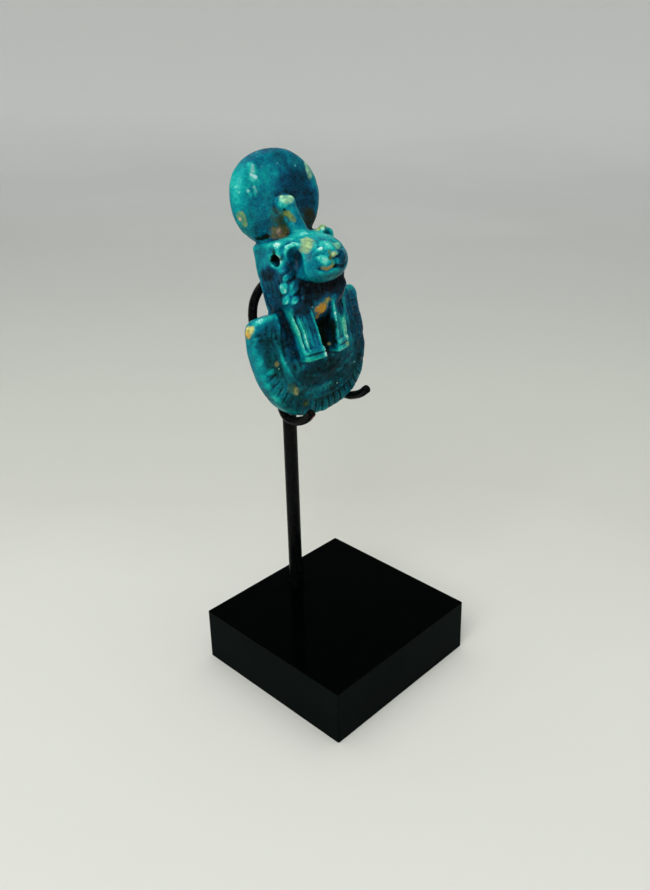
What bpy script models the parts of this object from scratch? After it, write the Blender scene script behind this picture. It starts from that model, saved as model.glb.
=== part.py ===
"""Glazed amulet of a lioness goddess, held upright by a bent wire, a rod and a black block.

Sizes are in millimetres, and MM turns them into metres. The origin is the centre of the block's
underside, +Z is up and the amulet faces -Y. The amulet and its wire are shaped in the amulet's own
frame, which an empty leans back: x to the right of someone who faces it, y towards its flat back,
where y is 0, and z up from the lowest point of the collar.
"""

import math

import bmesh
import bpy
from mathutils import Matrix, Vector

MM = 0.001

# Clearance between pieces that touch
FIT_GAP = 0.3

# Base block
BLOCK_SIDE = 40.0
BLOCK_HEIGHT = 12.0
BLOCK_EDGE = 0.25

# Rod, let into the block
ROD_DIAMETER = 3.0
ROD_SETBACK = 12.9
SOCKET_DEPTH = 8.0

# Wire cradle
WIRE_DIAMETER = 1.8
ARCH_RISE = 6.05
ARCH_INSET = 5.0
ARCH_POWER = 2.3
ARCH_LEG_START = 2.9
ARCH_BEHIND_ROD_AXIS = 0.36
LEFT_HOOK_X = -8.0
LEFT_HOOK_REACH = 4.3
LEFT_HOOK_RISE = 2.0
RIGHT_HOOK_X = 7.85
RIGHT_HOOK_REACH = 4.4
RIGHT_HOOK_RISE = 1.6

# Pose of the amulet over the block
LIFT = 46.46
LEAN_DEGREES = 13.5
ROLL_DEGREES = 1.8

# Amulet
AMULET_HEIGHT = 52.9
DISC_WIDTH = 21.3
DISC_HEIGHT = 18.9
DISC_THICKNESS = 3.8
COLLAR_LEFT = 14.9
COLLAR_RIGHT = 15.2
COLLAR_HEIGHT = 22.6
COLLAR_THICKNESS = 3.3
COLLAR_DOME = 2.0
WIG_WIDTH = 15.4
WIG_DEPTH = 8.0
BACK_STEP = 0.15
HEAD_WIDTH = 11.2
WIG_OVER_DISC_EDGE = 2.2
HEAD_UNDER_WIG_TOP = 5.9
LOCK_LENGTH = 3.4
LOCK_WIDTH = 1.6
HOLE_DIAMETER = 2.0

# Places that follow from the sizes above
WIRE_RADIUS = WIRE_DIAMETER / 2
ROD_RADIUS = ROD_DIAMETER / 2
WIRE_BACK = FIT_GAP + WIRE_RADIUS
ARCH_TOP = COLLAR_HEIGHT + ARCH_RISE
DISC_BOTTOM = AMULET_HEIGHT - DISC_HEIGHT
DISC_CENTRE_Z = AMULET_HEIGHT - DISC_HEIGHT / 2
WIG_TOP = DISC_BOTTOM + WIG_OVER_DISC_EDGE
HEAD_Z = WIG_TOP - HEAD_UNDER_WIG_TOP
LAPPET_BOTTOM = COLLAR_HEIGHT * 0.52
LAPPET_BACK = COLLAR_THICKNESS


def principled(name, colour, roughness, coat=0.0):
    material = bpy.data.materials.new(name)
    material.use_nodes = True
    shader = material.node_tree.nodes["Principled BSDF"]
    shader.inputs["Base Color"].default_value = (*colour, 1.0)
    shader.inputs["Metallic"].default_value = 0.0
    shader.inputs["Roughness"].default_value = roughness
    shader.inputs["Coat Weight"].default_value = coat
    material.diffuse_color = (*colour, 1.0)
    return material


def add_mesh(name, shape, material, parent=None):
    """Turn points in millimetres and their faces into an object whose faces point out."""
    points, faces = shape
    mesh = bpy.data.meshes.new(name)
    mesh.from_pydata([Vector(point) * MM for point in points], [], faces)
    shell = bmesh.new()
    shell.from_mesh(mesh)
    bmesh.ops.triangulate(shell, faces=shell.faces)
    bmesh.ops.recalc_face_normals(shell, faces=shell.faces)
    shell.to_mesh(mesh)
    shell.free()
    mesh.materials.append(material)
    mesh.shade_smooth()
    mesh.set_sharp_from_angle(angle=math.radians(35))
    solid = bpy.data.objects.new(name, mesh)
    bpy.context.collection.objects.link(solid)
    solid.parent = parent
    return solid


def hide(tool):
    tool.hide_render = True
    tool.display_type = "WIRE"
    return tool


def boolean(target, operation, tools):
    """Join or cut the target with every tool, in one exact Boolean on a collection of its own."""
    group = bpy.data.collections.new(f"{target.name} {operation.lower()}")
    bpy.context.scene.collection.children.link(group)
    for tool in tools:
        for owner in list(tool.users_collection):
            owner.objects.unlink(tool)
        group.objects.link(hide(tool))
    modifier = target.modifiers.new(operation.title(), "BOOLEAN")
    modifier.operation = operation
    modifier.solver = "EXACT"
    modifier.operand_type = "COLLECTION"
    modifier.collection = group


def loft(rings):
    """Bridge closed rings of equally many points, and close both ends with flat caps."""
    count = len(rings[0])
    points = [point for ring in rings for point in ring]
    faces = [list(range(count)), list(range(len(points) - count, len(points)))]
    for start in range(0, len(points) - count, count):
        for i in range(count):
            j = (i + 1) % count
            faces.append([start + i, start + j, start + count + j, start + count + i])
    return points, faces


def oval(half_x, half_z, power, count, start=0.0):
    """Points of a superellipse, which is squarer the higher its power is."""
    ring = []
    for i in range(count):
        angle = start + math.tau * i / count
        c, s = math.cos(angle), math.sin(angle)
        x = math.copysign(abs(c) ** (2 / power), c) * half_x
        z = math.copysign(abs(s) ** (2 / power), s) * half_z
        ring.append((x, z))
    return ring


def ellipsoid(centre, radii, turn_z=0.0, segments=20, rings=9):
    """A ball stretched to three radii and turned about z, with a pole at each end of its own x."""
    turn = Matrix.Rotation(math.radians(turn_z), 3, "Z")
    sections = []
    for k in range(rings + 1):
        angle = math.pi * min(max(k / rings, 0.03), 0.97)
        section = []
        for y, z in oval(radii[1], radii[2], 2.0, segments):
            local = Vector((math.cos(angle) * radii[0], math.sin(angle) * y, math.sin(angle) * z))
            section.append(tuple(turn @ local + Vector(centre)))
        sections.append(section)
    return loft(sections)


def tube(route, radius, sides=6):
    """A round bar along a route of points, used to cut grooves."""
    sections = []
    for i, point in enumerate(route):
        before, after = route[max(i - 1, 0)], route[min(i + 1, len(route) - 1)]
        along = (Vector(after) - Vector(before)).normalized()
        side = along.orthogonal().normalized()
        if i:
            side = (last_side - along * last_side.dot(along)).normalized()
        last_side = side
        other = along.cross(side)
        section = []
        for k in range(sides):
            angle = math.tau * k / sides
            spoke = (side * math.cos(angle) + other * math.sin(angle)) * radius
            section.append(tuple(Vector(point) + spoke))
        sections.append(section)
    return loft(sections)


# Collar

COLLAR_POWER = 2.5
COLLAR_LOW_LEFT = 0.75 * COLLAR_HEIGHT
COLLAR_LOW_RIGHT = 0.885 * COLLAR_HEIGHT
COLLAR_SLANT = 0.027
COLLAR_CORNERS = {-1: 2.8, 1: 2.2}
LEFT_SHOULDER_INSET = 0.55
BACK_ROUND = 1.7
FRONT_ROUND = 1.0
DOME_FALL_FROM = 0.6 * COLLAR_HEIGHT
DOME_FALL_RUN = 0.65 * COLLAR_HEIGHT
TANGENT_REACH = 2.5
BEADS = 32
NOTCH_DEPTH = 0.35
RING_HEIGHT = 0.2
RING_GROOVE = 0.35
RING_HALF_WIDTH = 0.35
RING_OFFSETS = (3.45, 5.6, 8.0)
INNER_OFFSET = 10.2


def collar_side(x):
    """Half width of the collar on this side, and the height where its curved edge begins."""
    if x < 0:
        return COLLAR_LEFT, COLLAR_LOW_LEFT
    return COLLAR_RIGHT, COLLAR_LOW_RIGHT


def collar_edge(x):
    """Height of the collar's lower edge at x."""
    width, low = collar_side(x)
    share = min(abs(x) / width, 1.0)
    return low * (1 - (1 - share**COLLAR_POWER) ** (1 / COLLAR_POWER))


def collar_slope(x):
    step = 0.4
    return (collar_edge(x + step) - collar_edge(x - step)) / (2 * step)


def collar_outline(share):
    """Point of the U-shaped edge, for a share of 0 at the left shoulder to 1 at the right one."""
    angle = math.pi * share
    x = -math.cos(angle)
    width, low = collar_side(x)
    px = math.copysign(abs(x) ** (2 / COLLAR_POWER), x) * width
    pz = low * (1 - math.sin(angle) ** (2 / COLLAR_POWER))
    return px, pz


def collar_top(x):
    """Height of the shoulder at x, where its outer corner is rounded."""
    width, _ = collar_side(x)
    corner = COLLAR_CORNERS[-1 if x < 0 else 1]
    inside = max(abs(x) - (width - corner), 0.0)
    fall = corner - math.sqrt(max(corner**2 - inside**2, 0.0))
    return COLLAR_HEIGHT + COLLAR_SLANT * x - fall


def collar_front(x, z):
    """Height of the collar's domed face over its flat back."""
    across = max(1 - (x / COLLAR_RIGHT) ** 2, 0.0)
    down = max(1 - (max(DOME_FALL_FROM - z, 0.0) / DOME_FALL_RUN) ** 2, 0.0)
    return COLLAR_THICKNESS + COLLAR_DOME * across * down


def edge_profile():
    """Rows from the back round the edge and over the face: offset from the edge, and height or relief."""
    lean = 1 - math.sqrt(0.5)
    rows = [
        (BACK_ROUND, 0.0, None),
        (BACK_ROUND * lean, BACK_ROUND * lean, None),
        (0.0, BACK_ROUND, None),
        (0.0, COLLAR_THICKNESS - FRONT_ROUND, "bead"),
        (FRONT_ROUND * lean, COLLAR_THICKNESS - FRONT_ROUND * lean, "bead"),
        (FRONT_ROUND, 0.0, "bead face"),
        (RING_OFFSETS[0] - 2 * RING_HALF_WIDTH, 0.0, "bead face"),
    ]
    for offset in RING_OFFSETS:
        rows.append((offset - RING_HALF_WIDTH, -RING_GROOVE, "face"))
        rows.append((offset, RING_HEIGHT, "face"))
        rows.append((offset + RING_HALF_WIDTH, -RING_GROOVE / 2, "face"))
    rows.insert(-3, (RING_OFFSETS[2] - 2 * RING_HALF_WIDTH, 0.0, "face"))
    rows.append((INNER_OFFSET, 0.0, "face"))
    return rows


def collar_columns():
    """Places along the edge: a column in each notch between beads and one at each side of a bead."""
    columns = []
    for bead in range(BEADS):
        columns.append((bead / BEADS, 1.0))
        columns.append(((bead + 0.22) / BEADS, 0.0))
        columns.append(((bead + 0.78) / BEADS, 0.0))
    columns.append((1.0, 1.0))
    return columns


def even_path(steps):
    """The whole edge from the left shoulder to the right one, walked at an even pace."""
    samples = [(LEFT_SHOULDER_INSET - COLLAR_LEFT, COLLAR_HEIGHT - COLLAR_CORNERS[-1])]
    samples += [collar_outline(i / 240) for i in range(241)]
    samples.append((COLLAR_RIGHT, COLLAR_HEIGHT - COLLAR_CORNERS[1]))
    lengths = [0.0]
    for a, b in zip(samples, samples[1:]):
        lengths.append(lengths[-1] + math.dist(a, b))

    def at(distance):
        for i in range(1, len(lengths)):
            if distance <= lengths[i]:
                break
        span = max(lengths[i] - lengths[i - 1], 1e-9)
        f = min(max((distance - lengths[i - 1]) / span, 0.0), 1.0)
        a, b = samples[i - 1], samples[i]
        return a[0] + (b[0] - a[0]) * f, a[1] + (b[1] - a[1]) * f

    path = []
    for share in steps:
        reach = share * lengths[-1]
        here = at(reach)
        before, after = at(reach - TANGENT_REACH), at(reach + TANGENT_REACH)
        along = Vector((after[0] - before[0], after[1] - before[1])).normalized()
        path.append((here, (-along.y, along.x)))
    return path


def collar_shape():
    """Slab with a domed, ringed front, whose rows run parallel to its U-shaped edge."""
    columns = collar_columns()
    path = even_path([share for share, _ in columns])
    rows = edge_profile()
    points = []
    for offset, height, kind in rows:
        for ((x, z), inward), (_, notch) in zip(path, columns):
            sunk = notch * NOTCH_DEPTH if kind and kind.startswith("bead") else 0.0
            step = offset + (sunk if kind == "bead" else 0.0)
            px, pz = x + inward[0] * step, z + inward[1] * step
            if kind in ("face", "bead face"):
                height_here = collar_front(px, pz) + height - sunk
            else:
                height_here = height
            points.append([px, -height_here, pz])
    count = len(columns)
    for row in range(len(rows)):
        for end in (0, count - 1):
            point = points[row * count + end]
            point[2] = collar_top(point[0])
    faces = []
    for row in range(len(rows) - 1):
        for i in range(count - 1):
            a = row * count + i
            faces.append([a, a + 1, a + count + 1, a + count])
    last = (len(rows) - 1) * count
    faces.append(list(range(count)))
    faces.append(list(range(last, last + count)))
    left = [row * count for row in range(len(rows))]
    right = [row * count + count - 1 for row in reversed(range(len(rows)))]
    faces.append(left + right)
    return points, faces


# Disc, wig, lappets and head

DISC_RIM_ROUND = 0.47 * DISC_THICKNESS
DISC_DOME = 0.45
DISC_SHIFT_LEFT = 0.2
DISC_SEGMENTS = 44


def disc_shape():
    """Slightly domed sun disc with a rounded rim."""
    half = DISC_THICKNESS / 2
    rim = DISC_RIM_ROUND
    rings = []
    for inset, height in (
        (rim, 0.0),
        (0.3 * rim, 0.3 * rim),
        (0.0, half),
        (0.3 * rim, DISC_THICKNESS - 0.3 * rim),
        (rim, DISC_THICKNESS),
        (0.5 * DISC_HEIGHT, DISC_THICKNESS + DISC_DOME),
    ):
        a, b = DISC_WIDTH / 2 - inset, max(DISC_HEIGHT / 2 - inset, 1.0)
        ring = []
        for k in range(DISC_SEGMENTS):
            angle = math.tau * k / DISC_SEGMENTS
            c, s = math.cos(angle), math.sin(angle)
            power = 2.1 + 0.15 * s - 0.1 * c
            radius = (abs(c) ** power + abs(s) ** power) ** (-1 / power)
            across = a if inset < 0.4 * DISC_HEIGHT else b
            x = across * radius * c - DISC_SHIFT_LEFT
            ring.append((x, -height - BACK_STEP, DISC_CENTRE_Z + b * radius * s))
        rings.append(ring)
    return loft(rings)


def uraeus_shape():
    """Rearing cobra on the front of the disc, a bar that leans forward towards its foot."""
    rings = []
    for z, y, half_width, half_depth in (
        (9.3, -4.7, 0.7, 0.7),
        (8.9, -4.9, 1.3, 1.3),
        (7.9, -5.1, 1.6, 1.7),
        (6.4, -5.4, 1.75, 1.8),
        (4.6, -5.7, 1.7, 1.8),
        (3.0, -6.0, 1.7, 1.8),
        (1.4, -6.3, 1.7, 1.8),
    ):
        ring = oval(half_width, half_depth, 2.6, 12, math.pi / 12)
        rings.append([(x, y + d, DISC_BOTTOM + z) for x, d in ring])
    return loft(rings)


def wig_shape():
    """Mass of hair behind the face, narrower towards the shoulders, its back a step inside the collar's."""
    bottom = COLLAR_HEIGHT - 7.5
    levels = (
        (bottom, 0.9, 0.66),
        (COLLAR_HEIGHT - 3.0, 0.94, 0.95),
        (COLLAR_HEIGHT + 1.5, 0.97, 1.0),
        (HEAD_Z - 4.0, 0.99, 1.0),
        (HEAD_Z, 1.0, 1.0),
        (WIG_TOP - 0.9, 1.0, 1.0),
        (WIG_TOP - 0.2, 0.96, 0.97),
        (WIG_TOP, 0.9, 0.9),
    )
    rings = []
    for z, wide, deep in levels:
        half_x, half_y = WIG_WIDTH / 2 * wide, WIG_DEPTH / 2 * deep
        ring = oval(half_x, half_y, 9.0, 28, math.pi / 28)
        rings.append([(x, y - WIG_DEPTH / 2 - BACK_STEP, z) for x, y in ring])
    return loft(rings)


def lappet_shape(side):
    """Hanging lock of hair with cut strands down its front and two bands at its foot."""
    strands = 5
    top = HEAD_Z - 4.6
    levels = []
    for share, swell in (
        (0.0, 0.0),
        (0.02, 0.25),
        (0.075, 0.25),
        (0.09, 0.0),
        (0.105, 0.25),
        (0.16, 0.25),
        (0.175, 0.0),
        (0.45, 0.1),
        (0.75, 0.1),
        (0.9, -0.3),
        (1.0, -1.4),
    ):
        levels.append((LAPPET_BOTTOM + share * (top - LAPPET_BOTTOM), share, swell))
    rings = []
    for z, share, swell in levels:
        outer = Vector((-6.6 - 1.2 * share - 0.3 * swell, 7.3 - 0.8 * share + swell))
        inner = Vector((-1.65 - 1.65 * share + 0.3 * swell, 8.8 - 0.1 * share + swell))
        ring = [(outer.x, LAPPET_BACK), (outer.x, outer.y - 0.6)]
        for k in range(2 * strands + 1):
            point = outer.lerp(inner, 0.08 + 0.84 * k / (2 * strands))
            ring.append((point.x, point.y + (0.3 if k % 2 else 0.0)))
        ring += [(inner.x, inner.y - 0.6), (inner.x, LAPPET_BACK)]
        rings.append([(-side * x, -y, z) for x, y in ring])
    return loft(rings)


def ruff_shape():
    """Hair of the throat, under the jaw and between the lappets."""
    rings = []
    for z, front, half in (
        (COLLAR_HEIGHT - 4.6, 5.6, 2.8),
        (COLLAR_HEIGHT - 3.2, 7.3, 3.6),
        (COLLAR_HEIGHT - 0.5, 8.3, 5.0),
        (HEAD_Z - 5.4, 9.3, 6.0),
        (HEAD_Z - 3.0, 9.6, 6.3),
        (HEAD_Z - 1.0, 9.2, 6.0),
    ):
        ring = oval(half, (front - 2.0) / 2, 3.2, 18, math.pi / 18)
        rings.append([(x, -2.0 - (front - 2.0) / 2 + y, z) for x, y in ring])
    return loft(rings)


def skull_shape():
    """Flat crown that falls forward to the brow and the muzzle."""
    rings = []
    for y, wide, top, bottom in (
        (-3.0, 0.96, 5.6, -5.0),
        (-6.4, 1.0, 5.9, -4.6),
        (-8.6, 1.0, 5.7, -4.0),
        (-10.4, 0.98, 5.2, -3.6),
        (-12.0, 0.86, 4.2, -3.0),
        (-13.3, 0.6, 3.2, -1.5),
        (-14.2, 0.3, 2.3, 0.3),
    ):
        centre, half = HEAD_Z + (top + bottom) / 2, (top - bottom) / 2
        ring = oval(HEAD_WIDTH / 2 * wide, half, 2.7, 22)
        rings.append([(x, y, centre + z) for x, z in ring])
    return loft(rings)


MUZZLE_Y = -11.2
MUZZLE_DEPTH = 3.6
MUZZLE_HEIGHT = 3.9


def muzzle_face(x, z):
    """Depth of the muzzle's surface at x and at z over the head's centre."""
    inside = 1 - (x / (HEAD_WIDTH / 2)) ** 2 - (z / MUZZLE_HEIGHT) ** 2
    return MUZZLE_Y - MUZZLE_DEPTH * math.sqrt(max(inside, 0.0))


EAR_PLACES = {-1: (6.2, 9.1, 2.2), 1: (5.15, 6.9, 4.2)}
EAR_TURN = 42
EAR_NARROWING = 0.82


def ear_shape(side):
    """Round cupped ear that faces forward and outward."""
    turn = Matrix.Rotation(math.radians(side * EAR_TURN), 3, "Z")
    out, back, rise = EAR_PLACES[side]
    centre = Vector((side * out, -back, HEAD_Z + rise))
    rings = []
    for radius, depth in (
        (0.5, 1.9),
        (2.2, 1.6),
        (2.8, 0.6),
        (2.7, -0.5),
        (2.2, -0.8),
        (1.7, -0.3),
        (0.9, 0.4),
        (0.3, 0.5),
    ):
        ring = oval(radius * EAR_NARROWING, radius, 2.0, 16)
        rings.append([tuple(turn @ Vector((x, depth, z)) + centre) for x, z in ring])
    return loft(rings)


def nose_shape():
    """Small flat nose on the front of the muzzle."""
    rings = []
    for z, y, half in (
        (4.0, -12.2, 0.5),
        (3.0, -13.5, 0.8),
        (2.2, -14.2, 1.2),
        (1.4, -14.5, 1.3),
        (0.7, -14.5, 0.6),
    ):
        ring = oval(half, 0.6, 2.4, 10, math.pi / 10)
        rings.append([(x, y + d, HEAD_Z + z) for x, d in ring])
    return loft(rings)


def lock_shape(centre, length, width, slope_degrees, side):
    """Pointed leaf-shaped lock of mane on the side of the neck."""
    tilt = math.radians(slope_degrees)
    rings = []
    for share, swell in ((-1.0, 0.15), (-0.6, 0.75), (0.0, 1.0), (0.6, 0.7), (1.0, 0.12)):
        ring = []
        for a, b in oval(width / 2 * swell, 0.9 * swell + 0.15, 2.0, 8):
            y = -math.cos(tilt) * a - math.sin(tilt) * share * length / 2
            z = -math.sin(tilt) * a + math.cos(tilt) * share * length / 2
            ring.append((side * (centre[0] + b), centre[1] + y, centre[2] + z))
        rings.append(ring)
    return loft(rings)


def head_cuts():
    """Bores and grooves of the head: hanging hole, eyes, mouth and the line under the nose."""
    cuts = []
    hole = [(x, -6.3, HEAD_Z + 2.1) for x in (-WIG_WIDTH, WIG_WIDTH)]
    cuts.append(("hanging_hole_cut", tube(hole, HOLE_DIAMETER / 2, 16)))
    mouth = []
    for i in range(9):
        x = HEAD_WIDTH * 0.33 * (i / 4 - 1)
        z = -1.35 + 0.05 * x * x
        mouth.append((x, muzzle_face(x, z), HEAD_Z + z))
    cuts.append(("mouth_cut", tube(mouth, 0.3)))
    line = [(0.0, muzzle_face(0.0, z), HEAD_Z + z) for z in (0.5, -0.2, -0.9, -1.5)]
    cuts.append(("lip_line_cut", tube(line, 0.25)))
    for side in (-1, 1):
        centre = (side * 2.5, -12.75, HEAD_Z + 3.75)
        name = "left_eye_cut" if side < 0 else "right_eye_cut"
        cuts.append((name, ellipsoid(centre, (1.15, 0.6, 0.5), side * 24, 10, 5)))
    return cuts


def add_amulet(frame, glaze):
    """Every form of the one fired piece, joined into one solid."""
    amulet = add_mesh("amulet", collar_shape(), glaze, frame)
    forms = [
        ("disc_form", disc_shape()),
        ("uraeus_form", uraeus_shape()),
        ("wig_form", wig_shape()),
        ("ruff_form", ruff_shape()),
        ("skull_form", skull_shape()),
        ("nose_form", nose_shape()),
        ("muzzle_form", ellipsoid((0, MUZZLE_Y, HEAD_Z), (HEAD_WIDTH / 2, MUZZLE_DEPTH, MUZZLE_HEIGHT))),
    ]
    for side, word in ((-1, "left"), (1, "right")):
        pad = (side * 1.7, -13.1, HEAD_Z)
        forms.append((f"{word}_lappet_form", lappet_shape(side)))
        forms.append((f"{word}_ear_form", ear_shape(side)))
        forms.append((f"{word}_lip_pad_form", ellipsoid(pad, (2.0, 1.65, 1.7), 0, 12, 6)))
        for number, (y, z, slope) in enumerate(((-8.4, -3.0, 28), (-6.6, -3.6, -18), (-8.0, -5.4, 28))):
            root = (WIG_WIDTH * 0.47, y, HEAD_Z + z)
            lock = lock_shape(root, LOCK_LENGTH, LOCK_WIDTH, slope, side)
            forms.append((f"{word}_lock_{number + 1}_form", lock))
    boolean(amulet, "UNION", [add_mesh(name, shape, glaze, frame) for name, shape in forms])
    boolean(amulet, "DIFFERENCE", [add_mesh(name, shape, glaze, frame) for name, shape in head_cuts()])
    return amulet


# Stand

def hook_points(x, reach, rise):
    """Wire from behind the collar, round its rounded back edge, under it and up in front of it."""
    edge = collar_edge(x)
    under = edge - WIRE_BACK * math.hypot(1.0, collar_slope(x))
    bend = BACK_ROUND + WIRE_BACK
    front = COLLAR_THICKNESS
    return [
        (x, WIRE_BACK, edge + BACK_ROUND + 0.6),
        (x, bend * math.sqrt(0.5) - BACK_ROUND + 0.05, under + bend * (1 - math.sqrt(0.5)) - 0.05),
        (x, -BACK_ROUND, under),
        (x, -front, under + 0.03 * rise),
        (x, -front - 0.55 * reach, under + 0.36 * rise),
        (x, -front - reach, under + rise),
    ]


def wire_route():
    """Centre line of the whole wire, from the left hook's tip over the arch to the right hook's."""
    half = (COLLAR_LEFT + COLLAR_RIGHT) / 2 - ARCH_INSET
    spring = COLLAR_HEIGHT - ARCH_LEG_START
    route = list(reversed(hook_points(LEFT_HOOK_X, LEFT_HOOK_REACH, LEFT_HOOK_RISE)))
    route.append(((LEFT_HOOK_X - half) / 2 - 0.1, WIRE_BACK, 0.55 * spring))
    for degrees in (180, 158, 136, 113, 90, 67, 44, 22, 0):
        c, s = math.cos(math.radians(degrees)), math.sin(math.radians(degrees))
        x = math.copysign(abs(c) ** (2 / ARCH_POWER), c) * half
        z = spring + s ** (2 / ARCH_POWER) * (ARCH_TOP - spring)
        route.append((x, WIRE_BACK, z))
    route.append(((RIGHT_HOOK_X + half) / 2 + 0.1, WIRE_BACK, 0.55 * spring))
    return route + hook_points(RIGHT_HOOK_X, RIGHT_HOOK_REACH, RIGHT_HOOK_RISE)


def add_wire(frame, paint):
    curve = bpy.data.curves.new("cradle_wire", "CURVE")
    curve.dimensions = "3D"
    curve.bevel_depth = WIRE_RADIUS * MM
    curve.bevel_resolution = 3
    curve.use_fill_caps = True
    curve.resolution_u = 4
    spline = curve.splines.new("BEZIER")
    route = wire_route()
    spline.bezier_points.add(len(route) - 1)
    for knot, point in zip(spline.bezier_points, route):
        knot.co = Vector(point) * MM
        knot.handle_left_type = "AUTO"
        knot.handle_right_type = "AUTO"
    curve.materials.append(paint)
    wire = bpy.data.objects.new("cradle_wire", curve)
    bpy.context.collection.objects.link(wire)
    wire.parent = frame
    return wire


def add_cylinder(name, radius, low, high, place, material, sides=40):
    rings = [[(x, y, z) for x, y in oval(radius, radius, 2.0, sides)] for z in (low, high)]
    rod = add_mesh(name, loft(rings), material)
    rod.location = Vector(place) * MM
    return rod


def add_box(name, low, high, material, parent=None):
    corners = [(low[0], low[1]), (high[0], low[1]), (high[0], high[1]), (low[0], high[1])]
    rings = [[(x, y, z) for x, y in corners] for z in (low[2], high[2])]
    return add_mesh(name, loft(rings), material, parent)


def add_base_block(acrylic):
    half = BLOCK_SIDE / 2
    block = add_box("base_block", (-half, -half, 0.0), (half, half, BLOCK_HEIGHT), acrylic)
    bevel = block.modifiers.new("Edges", "BEVEL")
    bevel.width = BLOCK_EDGE * MM
    bevel.segments = 2
    bevel.limit_method = "ANGLE"
    place = (0.0, ROD_SETBACK, 0.0)
    floor = BLOCK_HEIGHT - SOCKET_DEPTH
    socket = add_cylinder("socket_cut", ROD_RADIUS + FIT_GAP, floor, BLOCK_HEIGHT + 1.0, place, acrylic)
    boolean(block, "DIFFERENCE", [socket])
    return block


def add_rod(frame, paint, top):
    """Upright rod, filed to a slant in front so that it lies along the amulet's back."""
    low = BLOCK_HEIGHT - SOCKET_DEPTH + FIT_GAP
    rod = add_cylinder("rod", ROD_RADIUS, low, top, (0.0, ROD_SETBACK, 0.0), paint)
    reach = 4 * ROD_DIAMETER
    flat = add_box("rod_flat_cut", (-reach, -reach, 0.0), (reach, FIT_GAP, AMULET_HEIGHT), paint, frame)
    boolean(rod, "DIFFERENCE", [flat])
    return rod


def add_frame():
    """Empty that carries the amulet and its wire, placed so that the wire's arch crosses the rod's end."""
    lean = Matrix.Rotation(math.radians(-LEAN_DEGREES), 4, "X")
    pose = lean @ Matrix.Rotation(math.radians(-ROLL_DEGREES), 4, "Y")
    crown = pose @ Vector((0.0, WIRE_BACK, ARCH_TOP))
    place = Vector((-crown.x, ROD_SETBACK + ARCH_BEHIND_ROD_AXIS - crown.y, BLOCK_HEIGHT + LIFT))
    frame = bpy.data.objects.new("amulet_frame", None)
    frame.matrix_world = Matrix.Translation(place * MM) @ pose
    bpy.context.collection.objects.link(frame)
    rod_top = place.z + crown.z - (WIRE_RADIUS + FIT_GAP) / math.cos(math.radians(LEAN_DEGREES))
    return frame, rod_top


def main():
    for left_over in list(bpy.data.objects):
        bpy.data.objects.remove(left_over)
    faience = principled("turquoise faience glaze", (0.012, 0.25, 0.28), 0.3, 0.4)
    acrylic = principled("black acrylic", (0.006, 0.009, 0.008), 0.08)
    paint = principled("black gloss paint", (0.008, 0.009, 0.009), 0.2)
    frame, rod_top = add_frame()
    add_base_block(acrylic)
    add_rod(frame, paint, rod_top)
    add_wire(frame, paint)
    add_amulet(frame, faience)


main()
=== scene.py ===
"""Looks of a glazed lioness amulet and of the small stand that it leans on.

Sizes are in millimetres and MM turns them into metres. World axes are the frame's own: origin at
the centre of the block's underside, +Z up, the amulet facing -Y. The amulet is carved in its own
axes: x to the right of someone who faces it, y towards its flat back, where y is 0, and z up from
the lowest point of its collar.
"""

from __future__ import annotations

import logging
import math
from dataclasses import dataclass, field
from enum import Enum
from typing import Iterable, Sequence

import bpy
import numpy as np
from mathutils import Euler, Matrix, Vector

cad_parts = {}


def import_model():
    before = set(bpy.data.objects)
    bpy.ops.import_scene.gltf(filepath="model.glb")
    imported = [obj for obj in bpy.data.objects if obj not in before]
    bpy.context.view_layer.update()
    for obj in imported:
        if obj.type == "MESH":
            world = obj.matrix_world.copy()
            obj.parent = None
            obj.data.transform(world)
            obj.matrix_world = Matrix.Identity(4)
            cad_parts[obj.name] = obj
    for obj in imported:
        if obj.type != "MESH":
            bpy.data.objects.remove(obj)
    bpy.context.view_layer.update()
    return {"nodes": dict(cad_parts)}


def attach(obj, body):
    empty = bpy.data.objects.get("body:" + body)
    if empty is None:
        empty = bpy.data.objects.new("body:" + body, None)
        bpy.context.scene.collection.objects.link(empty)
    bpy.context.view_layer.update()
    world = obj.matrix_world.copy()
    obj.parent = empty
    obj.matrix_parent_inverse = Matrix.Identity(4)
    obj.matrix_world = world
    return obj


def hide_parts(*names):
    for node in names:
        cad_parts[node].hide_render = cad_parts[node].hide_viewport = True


LOG = logging.getLogger("lioness_amulet")
MM = 0.001
PIECE = "glazed_amulet"
# Nearly all of a noise node's values lie between these two
NOISE_SPAN = (0.3, 0.7)
PHOTO_AZIMUTH = -48.555
# The corners of the head, with ears and mane, face this far outwards. The next two are about its
# sine and cosine, the shares of that direction that point to the side and to the front.
CORNER_TURN = 40.0
TO_SIDE, TO_FRONT = 0.64, 0.77

Grid = np.ndarray
Point = tuple[float, float, float]
Range = tuple[float, float]
Table = tuple[tuple[float, ...], ...]
Stops = tuple[tuple[float, str], ...]


# Colour and node helpers


def linear(code: str) -> tuple[float, float, float, float]:
    """Turn an sRGB hex colour into the linear values that shaders take.

    Args:
        code: Colour such as "#0a949a".

    Returns:
        Linear red, green and blue, and an alpha of 1.
    """
    channels = [int(code[i : i + 2], 16) / 255 for i in (1, 3, 5)]
    red, green, blue = [
        c / 12.92 if c <= 0.04045 else ((c + 0.055) / 1.055) ** 2.4 for c in channels
    ]
    return red, green, blue, 1.0


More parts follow.
